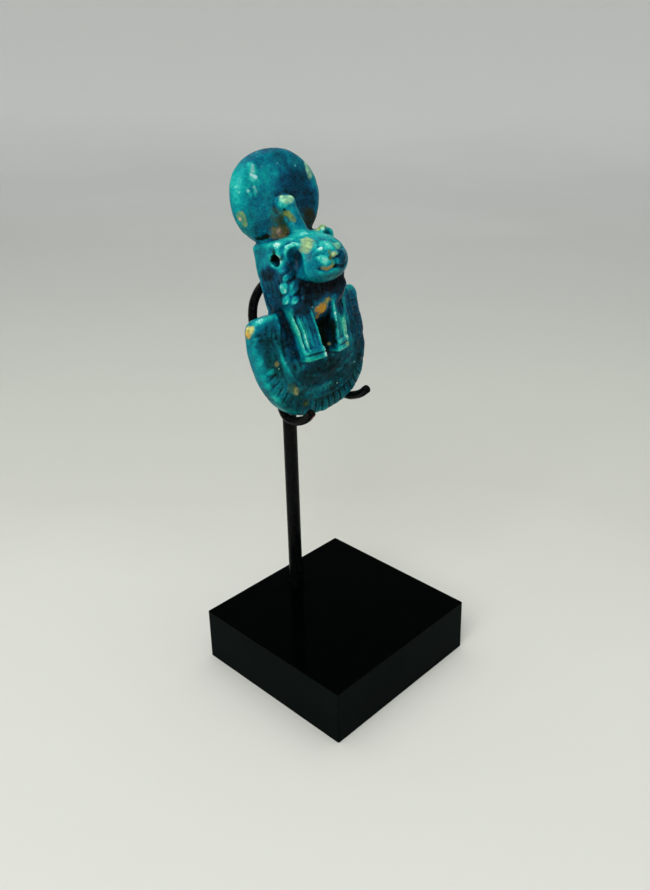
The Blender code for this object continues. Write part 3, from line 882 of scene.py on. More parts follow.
@dataclass
class Amulet:
    """Head of a lioness goddess on a broad collar, under a sun disc with a cobra."""

    step: float = 0.21
    height: float = 52.9
    disc_width: float = 21.3
    disc_height: float = 18.9
    disc_thickness: float = 3.8
    back_step: float = 0.15
    collar_left: float = 14.9
    collar_right: float = 15.2
    collar_low_left: float = 17.0
    collar_low_right: float = 20.0
    collar_height: float = 22.6
    collar_thickness: float = 3.3
    collar_dome: float = 2.0
    collar_power: float = 2.5
    bead_pitch: float = 1.9
    ring_offsets: tuple[float, ...] = (3.45, 5.6, 8.0)
    wig_width: float = 15.4
    wig_depth: float = 8.0
    wig_top: float = 36.2
    head_width: float = 11.2
    head_z: float = 30.3
    muzzle_y: float = -11.2
    hole_diameter: float = 2.0
    locks: Table = (
        (-0.9, 29.0, 0.6, 1.2, 44.0),
        (0.2, 29.4, 0.55, 1.3, 40.0),
        (1.7, 28.9, 0.5, 1.3, 36.0),
        (-1.7, 27.1, 0.9, 1.7, 25.0),
        (0.35, 26.95, 1.05, 2.7, 44.0),
        (2.25, 26.4, 0.7, 2.1, 30.0),
        (3.5, 25.7, 0.55, 1.8, 18.0),
        (-1.75, 24.9, 0.8, 1.6, 40.0),
        (-0.1, 24.5, 0.8, 1.7, 52.0),
        (1.7, 24.4, 0.6, 1.4, 36.0),
    )
    lean_degrees: float = 13.5
    roll_degrees: float = 1.8
    origin: Point = (0.93, 5.35, 58.46)
    grid_low: Point = (-16.4, -16.4, -1.0)
    grid_high: Point = (16.4, 1.2, 54.0)
    usual_depth: float = 0.47
    usual_green: float = 0.12
    depth_middle: float = 0.46
    depth_reach: float = 0.48
    glaze: FaienceGlaze = field(default_factory=FaienceGlaze)

    def pose(self) -> Matrix:
        """Place the amulet's own axes in the world.

        Returns:
            Their place, in metres.
        """
        lean = Matrix.Rotation(math.radians(-self.lean_degrees), 4, "X")
        roll = Matrix.Rotation(math.radians(-self.roll_degrees), 4, "Y")
        return Matrix.Translation(Vector(self.origin) * MM) @ lean @ roll

    # Collar

    def collar_edge(self, x: Grid, z: Grid) -> tuple[Grid, Grid]:
        """Where a point lies against the collar's U-shaped edge.

        Args:
            x: Places across.
            z: Places up.

        Returns:
            How far inside the edge each point is, and how far along the edge from its lowest point.
        """
        power = self.collar_power
        left = x < 0
        wide = np.where(left, self.collar_left, self.collar_right)
        wide = wide - np.where(left, 0.55, 0.1) * ease(z, 16.0, 21.0)
        low = np.where(left, self.collar_low_left, self.collar_low_right)
        u, v = np.abs(x) / wide, np.maximum(low - z, 0.0) / low
        scale = np.maximum((u**power + v**power) ** (1 / power), 1e-4)
        slope_u = (u / scale) ** (power - 1) / wide
        slope_v = (v / scale) ** (power - 1) / low
        inset = (1 - scale) / np.hypot(slope_u, slope_v)
        along = np.zeros_like(inset)
        for side, width, base in (
            (-1, self.collar_left, self.collar_low_left),
            (1, self.collar_right, self.collar_low_right),
        ):
            angle = np.linspace(0, math.pi / 2, 200)
            px, pz = width * np.sin(angle) ** (2 / power), base * (1 - np.cos(angle) ** (2 / power))
            walked = np.concatenate([[0.0], np.cumsum(np.hypot(np.diff(px), np.diff(pz)))])
            here = np.arctan2(u ** (power / 2), v ** (power / 2))
            length = np.interp(here, angle, walked) + np.maximum(z - base, 0.0)
            along = np.where(left == (side < 0), side * length, along)
        return inset, along

    def carve_collar(self, clay: Clay) -> None:
        """Model the broad collar: a domed slab with ring lines and a fringe of beads.

        Args:
            clay: Clay to join it to.
        """
        x, y, z = clay.axes
        inset, along = self.collar_edge(x, z)
        across = np.maximum(1 - (x / self.collar_right) ** 2, 0.0)
        under = np.maximum(0.6 * self.collar_height - z, 0.0) / (0.65 * self.collar_height)
        down = np.maximum(1 - under**2, 0.0)
        front = self.collar_thickness + self.collar_dome * across * down
        wear = clay.ripple(4.0, 11)[:, :1, :]
        bead = np.abs(((along / self.bead_pitch) % 1.0) - 0.5) * self.bead_pitch
        notch = ease(bead, self.bead_pitch / 2 - 0.42, self.bead_pitch / 2 - 0.08)
        first_ring = self.ring_offsets[0]
        fringe = ease(inset, 0.25, 0.6)
        fringe = fringe * (1 - ease(inset, first_ring - 0.75, first_ring - 0.4))
        for size, seed in ((1.9, 12), (0.95, 13)):
            front = front + 0.13 * clay.ripple(size, seed)[:, :1, :]
        kept = 0.34 + 0.45 * wear + 0.4 * ease(x, -9.0, -3.0) * (1 - ease(z, 2.5, 9.0))
        kept = kept - 0.25 * ease(x, 8.0, 13.0)
        kept = np.clip(kept, 0.06, 0.9)
        front = front - 0.4 * notch * fringe * kept
        front = front + 0.16 * fringe * kept * (1 - notch) * ease(inset, 0.9, 1.6)
        for number, offset in enumerate(self.ring_offsets):
            gap = np.abs(inset - offset)
            front = front + 0.16 * (1 - ease(gap, 0.1, 0.45)) * (0.4 + 0.6 * kept)
            front = front - 0.14 * (1 - ease(np.abs(gap - 0.65), 0.08, 0.45)) * kept
            petal = np.abs(((along / (1.5 + 0.2 * number)) % 1.0) - 0.5)
            row = ease(inset, offset + 0.8, offset + 1.1)
            row = row * (1 - ease(inset, offset + 1.5, offset + 1.9))
            front = front - 0.14 * row * ease(petal, 0.28, 0.45) * kept
        side = -inset + 0.12 * notch * (1 - ease(inset, 0.4, 1.0)) * kept * ease(-y, 1.4, 2.2)
        top = z - (self.collar_height + 0.027 * x)
        corner = np.where(x < 0, 2.6, 2.1)
        outline = np.minimum(-corner, np.maximum(side, top)) + np.hypot(
            np.maximum(side + corner, 0.0), np.maximum(top + corner, 0.0)
        )
        face = rounded_edge(outline, -y - front, 0.95)
        clay.merge(rounded_edge(face, y, 1.6), 0.3)

    # Disc, cobra, wig and lappets

    def carve_disc(self, clay: Clay) -> None:
        """Model the sun disc and the cobra that rears on its front.

        Args:
            clay: Clay to join them to.
        """
        x, y, z = clay.axes
        dx, dz = x + 0.2, z - (self.height - self.disc_height / 2)
        u, v = dx / (self.disc_width / 2), dz / (self.disc_height / 2)
        turned = np.arctan2(v, u)
        power = 2.1 + 0.15 * np.sin(turned) - 0.1 * np.cos(turned)
        scale = (np.abs(u) ** power + np.abs(v) ** power) ** (1 / power)
        edge = (scale - 1) * 10.0
        dome = 0.45 * np.clip(1 - scale**2, 0, 1)
        face = rounded_edge(edge, -y - self.back_step - self.disc_thickness - dome, 1.75)
        clay.merge(rounded_edge(face, y + self.back_step, 1.75), 0.5)
        clay.add(Bar((-0.25, -4.5, 42.0), (0.1, -6.0, 36.0), 1.75, 1.9), 1.0)
        clay.add(Ball((-0.7, -4.9, 42.3), (2.1, 1.7, 1.5), 0.0, -15.0), 0.8)
        clay.add(Bar((-2.0, -4.2, 43.0), (-2.2, -4.3, 40.6), 0.45, 0.35), 0.5)
        clay.cut(Bar((-1.75, -5.2, 42.6), (-1.75, -5.9, 39.0), 0.25, 0.2), 0.4)
        clay.cut(Bar((1.6, -5.4, 42.0), (1.85, -6.5, 37.2), 0.25, 0.2), 0.4)

    def carve_wig(self, clay: Clay) -> None:
        """Model the block of hair, with its combed streaks.

        Args:
            clay: Clay to join it to.
        """
        x, y, z = clay.axes
        half = self.wig_width / 2 * (0.9 + 0.1 * ease(z, 15.0, 30.0))
        streaks = 0.09 * np.sin((y + 0.06 * (z - 25)) * math.tau / 1.15)
        streaks = streaks * ease(z, 18.0, 22.0) * (1 - ease(z, 28.5, 30.0))
        sides = np.abs(x) - half - streaks
        depth = np.interp(z, (14.0, 19.5, 21.8, 23.4), (0.5, 0.62, 0.92, 1.0)) * self.wig_depth
        front = -y - self.back_step - depth
        block = rounded_edge(rounded_edge(sides, front, 1.1), y + self.back_step, 0.9)
        block = rounded_edge(block, z - self.wig_top + 0.05 * np.abs(x), 1.0)
        clay.merge(np.maximum(block, 14.0 - z), 0.8)

    def carve_mane(self, clay: Clay) -> None:
        """Emboss the leaf-shaped locks of mane on the corner of wig and throat, on both sides.

        Args:
            clay: Clay that already holds the wig and the throat.
        """
        x, y, z = clay.axes
        corner_x, corner_y = 6.6, -8.6
        for side in (-1, 1):
            clay.add(Bar((side * 5.9, -7.8, 29.6), (side * 6.0, -7.4, 23.6), 1.0), 1.0)
            clay.add(Bar((side * 4.6, -7.2, 22.4), (side * 6.6, -6.8, 24.4), 1.1), 1.0)
            clay.add(Bar((side * 4.9, -7.9, 25.2), (side * 4.9, -7.9, 27.2), 0.9), 0.6)
            clay.add(Bar((side * 6.7, -7.7, 27.6), (side * 6.9, -7.7, 30.0), 0.9), 0.6)
            across = TO_FRONT * (corner_x - side * x) + TO_SIDE * (corner_y - y)
            out = TO_SIDE * (side * x - corner_x) - TO_FRONT * (y - corner_y)
            near = ease(out, -2.6, -1.0) * ease(z, 23.0, 24.2)
            leaf, moat = np.zeros_like(across + z), np.zeros_like(across + z)
            for inward, up, wide, length, slant in self.locks:
                turn = math.radians(slant)
                u = math.cos(turn) * (across - inward) - math.sin(turn) * (z - up)
                v = math.sin(turn) * (across - inward) + math.cos(turn) * (z - up)
                half = 1.2 * wide * np.clip(1 - np.abs(v / length) ** 1.6, 0.0, 1.0)
                beside = np.abs(u) - half + 0.4 * np.maximum(np.abs(v) - length, 0.0)
                vein = 0.12 * (1 - ease(np.abs(u), 0.0, 0.35)) * ease(-beside, 0.1, 0.3)
                leaf = np.maximum(leaf, 0.44 * ease(-beside, -0.14, 0.8 * wide) - vein)
                moat = np.maximum(moat, 1 - ease(beside, -0.1, 0.45))
            clay.values -= near * (leaf - 0.2 * moat * (1 - ease(leaf, 0.0, 0.2)))

    def carve_lappets(self, clay: Clay) -> None:
        """Model the two hanging locks of hair, with their strands and the bands at their feet.

        Args:
            clay: Clay to join them to.
        """
        x, y, z = clay.axes
        foot, top = 0.52 * self.collar_height, self.head_z - 4.6
        share = (z - foot) / (top - foot)
        outer, inner = 5.8 + 2.0 * share, 1.65 + 1.65 * share
        bands = (0.0, 0.02, 0.075, 0.09, 0.105, 0.16, 0.175, 0.45, 0.9, 1.0)
        swell = (0.05, 0.25, 0.25, -0.25, 0.2, 0.2, -0.25, 0.1, -0.3, -1.4)
        swell = np.interp(share, bands, swell)
        for side in (-1, 1):
            across = side * x
            place = np.clip((across - inner) / (outer - inner), 0.0, 1.0)
            strands = np.abs(((place * 5.5) % 1.0) - 0.5) * 2
            groove = ease(strands, 0.5, 0.95) * ease(share, 0.17, 0.22)
            groove = groove * (1 - ease(place, 0.6, 0.7))
            ribs = sum(np.exp(-(((place - middle) / 0.055) ** 2)) for middle in (0.74, 0.94))
            ribs = 0.36 * ribs - 0.26 * np.exp(-(((place - 0.84) / 0.05) ** 2))
            depth = 8.8 - 0.1 * share - (1.5 + 0.7 * share) * place + swell - 0.2 * groove
            depth = depth + ribs * ease(share, 0.12, 0.2) * (1 - ease(share, 0.8, 0.95))
            walls = rounded_edge(across - outer, inner - across, 0.3)
            slab = rounded_edge(walls, -y - depth, 0.55)
            slab = rounded_edge(slab, foot - z, 0.5)
            clay.merge(np.maximum(rounded_edge(slab, z - top - 0.6, 0.8), y + 2.0), 0.35)

    def carve_throat(self, clay: Clay) -> None:
        """Model the combed hair of the throat, under the jaw and between the lappets.

        Args:
            clay: Clay to join it to.
        """
        x, y, z = clay.axes
        heights = (18.0, 19.4, 22.1, 24.9, 27.3, 29.3)
        depth = np.interp(z, heights, (5.6, 7.3, 8.3, 9.3, 9.6, 9.2))
        half = np.interp(z, heights, (2.8, 3.6, 5.0, 6.0, 6.3, 6.0))
        wander = clay.ripple(2.4, 31)[:, :1, :]
        comb = np.abs(((x / 1.3 + 0.25 * wander) % 1.0) - 0.5) * 2
        groove = (0.2 + 0.16 * wander) * ease(comb, 0.4, 0.95) * ease(z, 20.5, 22.0)
        wall = rounded_edge(np.abs(x) - half, -y - depth + groove + 0.045 * x**2, 1.4)
        wall = np.maximum(wall, 17.4 - z)
        clay.merge(np.maximum(np.maximum(wall, z - 29.8), y + 2.0), 0.4)

    # Head

    def carve_head(self, clay: Clay) -> None:
        """Model the lioness head: skull, brow, cupped ears, eyes, nose and mouth.

        Args:
            clay: Clay to join it to.
        """
        mid = self.head_z
        x, y, z = clay.axes
        stations = (3.0, 6.4, 8.6, 10.4, 12.0, 13.3, 14.4)
        wide = np.interp(-y, stations, (5.4, 5.6, 5.8, 5.9, 5.2, 3.7, 1.9))
        high = np.interp(-y, stations, (5.5, 5.85, 5.7, 5.2, 4.25, 3.2, 2.0))
        low = np.interp(-y, stations, (-5.0, -4.6, -4.0, -3.6, -3.0, -1.6, 0.2))
        centre, half = mid + (high + low) / 2, (high - low) / 2
        ring = (np.abs(x / wide) ** 2.6 + np.abs((z - centre) / half) ** 2.6) ** (1 / 2.6)
        skull = (ring - 1) * np.minimum(wide, half) * 0.9
        clay.merge(np.maximum(skull, np.maximum(-y - 14.2, y + 2.5)), 0.6)
        clay.add(Ball((0.0, self.muzzle_y, mid), (self.head_width / 2, 3.6, 3.9)), 0.8)
        for side in (-1, 1):
            clay.add(Ball((side * 1.75, -13.1, mid - 0.05), (2.0, 1.65, 1.7)), 0.35)
            clay.add(
                Bar((side * 0.55, -12.9, mid + 3.3), (side * 2.8, -11.5, mid + 3.7), 0.5, 0.35), 0.6
            )
            # Hollows over each eye, then those beside the bridge of the nose
            for start, end, radius, end_radius, blend in (
                ((1.0, -12.15, 4.5), (2.1, -13.15, 3.4), 0.36, 0.42, 0.4),
                ((2.1, -13.15, 3.4), (3.6, -13.0, 2.6), 0.34, 0.2, 0.4),
                ((0.65, -12.95, 4.0), (1.75, -13.95, 2.8), 0.2, 0.22, 0.25),
                ((0.5, -13.7, 3.35), (0.55, -14.55, 2.5), 0.16, 0.2, 0.2),
            ):
                ends = [(side * across, ahead, mid + up) for across, ahead, up in (start, end)]
                clay.cut(Bar(*ends, radius, end_radius), blend)
            eye = (side * 2.45, clay.front(side * 2.45, mid + 2.55) + 0.28, mid + 2.55)
            clay.add(Ball(eye, (0.95, 0.55, 0.45), side * 30, 0.0, side * 22), 0.15)
            lid = ((1.35, 2.3), (2.3, 1.85), (3.5, 1.9))
            clay.score([(side * across, mid + up) for across, up in lid], 0.3, 0.2)
        clay.add(Ball((0.0, -14.0, mid + 2.3), (0.95, 0.8, 1.6), 0.0, -38.0), 0.5)
        clay.add(Ball((0.0, -14.5, mid + 1.15), (1.25, 0.65, 0.6)), 0.25)
        clay.score(((0.0, mid + 0.55), (0.0, mid - 0.95)), 0.3, 0.3)
        for side in (-1, 1):
            clay.score(((side * 0.35, mid + 0.65), (side * 1.3, mid + 0.75)), 0.25, 0.3)
            lip = ((0.0, -0.95), (0.8, -1.35), (1.8, -1.5), (2.9, -1.3), (3.8, -0.7))
            clay.score([(side * across, mid + up) for across, up in lip], 0.34, 0.3)
            for row in (0.35, -0.15, -0.65):
                whisker = ((1.5, row), (2.5, row * 1.1), (3.5, row * 1.5 + 0.1))
                clay.score([(side * across, mid + up) for across, up in whisker], 0.22, 0.1)
        self.carve_ear(clay, -1, (-5.3, -9.0, mid + 2.3))
        self.carve_ear(clay, 1, (5.0, -7.2, mid + 3.9))

    def carve_ear(self, clay: Clay, side: int, centre: Point) -> None:
        """Model one cupped ear, whose hollow runs out downwards and towards the cheek.

        Args:
            clay: Clay to join it to.
            side: -1 for the left ear and 1 for the right.
            centre: Middle of the ear.
        """
        middle, turn = Vector(centre), side * CORNER_TURN
        out = Vector((side * TO_SIDE, -TO_FRONT, 0.0))
        inward = Vector((side * -TO_FRONT, -TO_SIDE, 0.0))
        clay.add(Ball(tuple(middle + inward * 0.3), (1.9, 0.9, 2.4), turn), 0.6)
        rim = (
            (-1.1, 0.2, -0.4),
            (-1.15, 0.35, 0.9),
            (-0.7, 0.45, 1.75),
            (0.5, 0.5, 2.05),
            (1.9, 0.5, 1.7),
        )
        arch = [
            middle + inward * across + out * ahead + Vector((0.0, 0.0, up))
            for across, ahead, up in rim
        ]
        for first, last in zip(arch, arch[1:]):
            clay.add(Bar(tuple(first), tuple(last), 0.4), 0.5)
        hollow = middle + inward * 0.45 + out * 0.95 + Vector((0.0, 0.0, -0.25))
        clay.cut(Ball(tuple(hollow), (1.3, 1.4, 1.9), turn), 0.8)
        outlet = hollow + out * 0.7 - inward * 0.6 + Vector((0.0, 0.0, -2.0))
        clay.cut(Ball(tuple(outlet), (1.2, 1.1, 1.5), turn), 1.4)

    # Wear

    def wear_down(self, clay: Clay) -> None:
        """Round and chip the whole surface as handling, firing and burial left it.

        Args:
            clay: Clay to wear.
        """
        clay.values += 0.1 * clay.ripple(3.2, 5) + 0.06 * clay.ripple(1.3, 6)
        chips = (
            Ball((-8.0, -1.6, 23.2), (0.8, 0.9, 1.2)),
            Ball((15.6, -2.6, 17.0), (0.8, 1.2, 1.1)),
            Ball((-8.0, -5.1, 6.4), (0.7, 0.7, 0.55)),
            Ball((-11.2, -4.7, 13.0), (0.6, 0.5, 0.5)),
            Ball((4.6, -8.9, 12.4), (0.8, 0.4, 0.6)),
            Ball((-7.0, -4.4, 37.2), (1.6, 0.9, 0.5)),
        )
        for chip in chips:
            clay.cut(chip, 0.4)
        hole, hole_z = self.hole_diameter / 2, self.head_z + 2.1
        clay.cut(Bar((-9.5, -6.35, hole_z), (9.5, -6.1, hole_z), hole * 1.2), 0.15)
        for side in (-1, 1):
            clay.cut(Ball((side * 8.3, -6.5, hole_z), (1.2, 1.55, 1.5)), 0.15)
        clay.cut(
            Bar((-7.9, -6.6, self.head_z + 2.6), (-7.9, -6.9, self.head_z + 4.0), 0.35, 0.2), 0.3
        )

    def pools_and_light(self) -> list[PoolAndLight]:
        """List where the glaze is deeper or thinner than the carving alone would make it.

        Some of them are painted shade and painted highlights, each marked where it stands.

        Returns:
            The spots, each added to the glaze's depth.
        """
        return [
            PoolAndLight((-1.0, -3.5, 51.5), (7.0, 3.5, 2.6), 0.14),
            # Deeper over the disc's right half: pooled glaze, and painted shade on the side turned
            # from the key light.
            PoolAndLight((3.6, -4.2, 44.0), (4.8, 3.0, 4.6), 0.28),
            PoolAndLight((6.5, -4.0, 41.0), (3.0, 3.0, 3.4), 0.18),
            PoolAndLight((1.1, -4.2, 46.5), (3.8, 3.0, 3.0), 0.1),
            PoolAndLight((8.8, -3.0, 44.0), (1.5, 3.0, 3.5), -0.1),
            # Painted highlight along the disc's left rim.
            PoolAndLight((-10.2, -2.4, 45.5), (1.5, 2.6, 5.0), -0.08),
            PoolAndLight((-6.5, -3.9, 39.0), (2.8, 2.0, 2.0), 0.14),
            # Painted highlight over the top of the head and of the wig, where the top light falls.
            PoolAndLight((0.2, -9.1, 35.6), (4.2, 2.8, 1.3), -0.16),
            PoolAndLight((-6.8, -6.0, 36.0), (2.6, 4.0, 1.0), -0.12),
            # Deeper in the near ear's hollow: pooled glaze, and painted shade on its side turned
            # from the light.
            PoolAndLight((-5.5, -9.0, 32.2), (1.2, 1.3, 2.4), 0.2),
            PoolAndLight((-7.0, -8.4, 29.6), (1.6, 1.6, 1.6), 0.25),
            PoolAndLight((-7.7, -3.6, 26.5), (1.2, 4.0, 4.2), 0.26),
            PoolAndLight((-7.6, -4.5, 30.2), (1.4, 2.6, 1.2), 0.14),
            PoolAndLight((-1.4, -13.4, 33.4), (1.9, 1.5, 1.4), -0.22),
            # Painted highlights: on the near cheek, in broken patches on the disc's left face, and
            # in a band along the disc's left rim.
            PoolAndLight((-3.0, -13.9, 31.6), (0.8, 0.8, 0.8), -0.42, end=(-2.3, -14.5, 30.8)),
            PoolAndLight((-6.1, -3.7, 50.2), (0.9, 0.9, 0.9), -0.24, end=(-6.4, -4.0, 48.2)),
            PoolAndLight((-9.6, -2.4, 48.6), (0.6, 1.2, 1.2), -0.07, end=(-10.4, -2.9, 45.2)),
            PoolAndLight((-8.5, -3.9, 46.2), (0.35, 0.8, 0.6), -0.2, end=(-7.9, -4.0, 45.2)),
            PoolAndLight((-6.6, -4.0, 46.6), (0.35, 0.8, 0.6), -0.2, end=(-6.9, -4.0, 45.0)),
            PoolAndLight((-7.2, -3.1, 50.6), (1.6, 1.6, 1.8), -0.03, end=(-9.6, -3.5, 43.5)),
            # Painted highlight along the top of the wig, its left top edge and the near ear's top
            # rim.
            PoolAndLight((-3.8, -7.3, 36.2), (1.3, 1.6, 0.9), -0.16, end=(-1.0, -7.7, 36.2)),
            PoolAndLight((-7.3, -7.6, 35.4), (0.6, 0.9, 0.6), -0.08, end=(-5.4, -9.4, 35.2)),
            PoolAndLight((-7.7, -2.2, 35.6), (0.8, 1.2, 0.6), -0.06, end=(-7.7, -6.0, 35.6)),
            PoolAndLight((1.3, -10.6, 35.3), (0.8, 1.0, 0.6), -0.11, end=(2.8, -12.3, 33.7)),
            PoolAndLight((-0.5, -13.4, 33.7), (0.4, 0.6, 0.5), -0.22, end=(-0.4, -14.4, 32.9)),
            PoolAndLight((1.0, -12.5, 34.1), (0.4, 0.6, 0.4), -0.22, 0.5, end=(2.4, -13.8, 32.2)),
            PoolAndLight((-0.8, -12.0, 34.5), (0.45, 0.6, 0.5), -0.06, end=(-2.1, -12.9, 33.6)),
            PoolAndLight((-2.1, -12.9, 33.6), (0.7, 0.7, 0.5), -0.14, end=(-2.8, -12.9, 33.2)),
            # Deeper where the near ear's hollow runs out: pooled glaze, and painted shade.
            PoolAndLight((-6.6, -9.6, 31.2), (1.4, 1.4, 1.0), 0.3),
            PoolAndLight((-2.45, -13.2, 32.1), (0.9, 0.8, 0.6), 0.16),
            PoolAndLight((-7.9, -6.6, 34.0), (0.9, 1.4, 1.0), 0.06, end=(-7.3, -8.4, 33.0)),
            PoolAndLight((-7.7, -4.4, 30.4), (0.9, 1.4, 1.2), 0.22, end=(-7.7, -2.8, 29.8)),
            PoolAndLight((-7.7, -7.1, 30.6), (0.7, 0.9, 0.6), -0.12),
            PoolAndLight((-5.2, -8.6, 27.8), (0.45, 0.45, 0.5), -0.19, end=(-7.5, -8.8, 26.0)),
            PoolAndLight((-7.7, -6.9, 27.4), (0.8, 1.0, 0.8), -0.48, end=(-8.0, -7.2, 26.6)),
            PoolAndLight((-7.2, -8.8, 25.2), (0.6, 0.6, 0.6), -0.02, end=(-6.8, -9.2, 24.7)),
            # Paler along the near lappet's left ridges: thin glaze, and painted highlight where
            # they face the key light.
            PoolAndLight((-7.5, -6.0, 23.2), (0.35, 0.5, 0.8), -0.08, 0.4, end=(-6.4, -7.5, 14.2)),
            PoolAndLight((-7.2, -7.1, 22.2), (0.3, 0.5, 0.8), -0.12, 0.4, end=(-5.3, -7.9, 14.3)),
            PoolAndLight((-5.9, -7.9, 19.6), (0.9, 0.9, 1.2), -0.15, 0.3, end=(-5.1, -8.1, 15.4)),
            PoolAndLight((-3.5, -8.4, 19.4), (0.9, 0.9, 1.4), 0.16, end=(-3.0, -8.7, 13.6)),
            # Painted highlight along the near lappet's right edge.
            PoolAndLight((-1.1, -8.2, 16.5), (0.3, 0.5, 1.0), -0.12, end=(-2.2, -9.0, 12.4)),
            PoolAndLight((-5.8, -7.6, 13.0), (0.7, 0.6, 0.35), 0.06, end=(-3.9, -8.3, 13.0)),
            PoolAndLight((-6.4, -7.5, 13.9), (0.7, 0.6, 0.22), 0.20, end=(-3.4, -8.5, 13.8)),
            PoolAndLight((-6.3, -7.6, 12.1), (0.8, 0.7, 0.45), 0.12, 0.4, end=(-2.9, -8.6, 12.1)),
            # Deeper on the near lappet's outer wall: pooled glaze, and painted shade in the recess
            # beside it.
            PoolAndLight((-7.8, -4.8, 21.9), (0.8, 0.9, 1.4), 0.34, end=(-7.1, -5.2, 15.0)),
            PoolAndLight((-10.3, -4.1, 18.4), (0.3, 0.9, 0.9), -0.19, end=(-10.0, -4.1, 15.5)),
            PoolAndLight((-9.7, -4.1, 14.2), (0.3, 0.9, 0.9), -0.19, end=(-9.1, -4.2, 11.0)),
            PoolAndLight((0.8, -4.8, 7.2), (0.9, 0.9, 0.35), -0.15, end=(3.9, -4.7, 7.3)),
            PoolAndLight((3.9, -4.7, 7.3), (0.9, 0.9, 0.35), -0.15, end=(8.5, -4.2, 9.0)),
            PoolAndLight((-2.1, -4.2, 5.1), (0.9, 0.9, 0.3), -0.12, end=(4.8, -4.2, 5.2)),
            PoolAndLight((3.5, -8.6, 19.4), (0.35, 0.6, 1.0), -0.10, end=(4.1, -8.1, 14.6)),
            PoolAndLight((4.7, -8.1, 18.2), (0.7, 0.8, 1.2), -0.2, 0.5, end=(5.6, -7.9, 13.6)),
            # Painted shade down the right side of the muzzle.
            PoolAndLight((1.8, -14.6, 30.2), (1.2, 1.3, 2.1), 0.32),
            PoolAndLight((-1.5, -12.6, 27.2), (5.0, 2.6, 1.3), 0.1, 0.6),
            # Painted shade under the jaw.
            PoolAndLight((0.8, -9.2, 25.8), (7.6, 2.2, 2.8), 0.6),
            PoolAndLight((5.6, -8.6, 27.0), (3.0, 3.0, 4.0), 0.4),
            # Painted shade in the gap between the lappets, under the throat.
            PoolAndLight((0.4, -7.0, 16.6), (2.2, 3.0, 5.2), 0.5),
            PoolAndLight((-4.9, -8.3, 22.8), (2.6, 1.6, 2.2), 0.45),
            PoolAndLight((5.8, -7.6, 21.4), (1.8, 1.6, 3.6), 0.42),
            PoolAndLight((6.0, -7.6, 15.6), (1.8, 1.4, 2.6), -0.3, 0.6),
            PoolAndLight((6.7, -7.7, 20.6), (0.9, 1.0, 2.0), 0.3),
            PoolAndLight((6.6, -7.9, 35.1), (0.7, 0.8, 0.9), 0.2),
            PoolAndLight((-0.1, -7.3, 38.9), (0.9, 0.8, 2.4), 0.08),
            PoolAndLight((-13.8, -3.4, 18.7), (1.1, 1.2, 2.4), 0.1),
            PoolAndLight((-4.2, -7.6, 12.4), (3.0, 1.6, 1.4), 0.06, 0.5),
            PoolAndLight((-11.6, -3.4, 22.0), (2.6, 2.0, 0.9), -0.14),
            PoolAndLight((-14.4, -2.4, 14.0), (0.9, 2.2, 8.0), -0.04, 0.2),
            PoolAndLight((-9.4, -3.0, 39.6), (2.6, 2.4, 2.4), 0.08, 0.5),
            PoolAndLight((-7.2, -7.0, 17.5), (1.0, 1.6, 6.0), 0.0, 0.35),
            PoolAndLight((-10.8, -4.2, 15.5), (2.6, 1.8, 5.6), 0.3, 0.5),
            # Deeper down the near lappet's outer wall: pooled glaze, and painted shade.
            PoolAndLight((-7.4, -4.8, 17.0), (1.5, 1.4, 6.0), 0.3),
            PoolAndLight((-12.6, -3.9, 12.1), (1.0, 1.0, 0.7), -0.3),
            PoolAndLight((-9.6, -4.2, 13.2), (0.45, 1.2, 2.6), -0.2),
            PoolAndLight((-8.5, -4.0, 4.6), (4.0, 1.8, 2.2), 0.26, 0.4),
            PoolAndLight((0.0, -3.0, 4.0), (16.0, 5.0, 9.0), 0.05, 0.5),
            PoolAndLight((0.0, -3.6, 12.0), (15.5, 1.6, 10.0), 0.03, 0.3),
            PoolAndLight((-2.0, -4.8, 8.4), (6.0, 1.8, 2.8), 0.36),
            PoolAndLight((6.0, -4.6, 7.0), (5.6, 1.8, 4.2), 0.26),
            # Deeper on the collar's right wing and along its lower edge: pooled glaze, and painted
            # shade where the collar turns from the light.
            PoolAndLight((12.0, -3.4, 14.0), (3.0, 2.4, 9.0), 0.3),
            PoolAndLight((0.0, -3.6, 2.2), (9.0, 2.2, 2.4), 0.18),
        ]

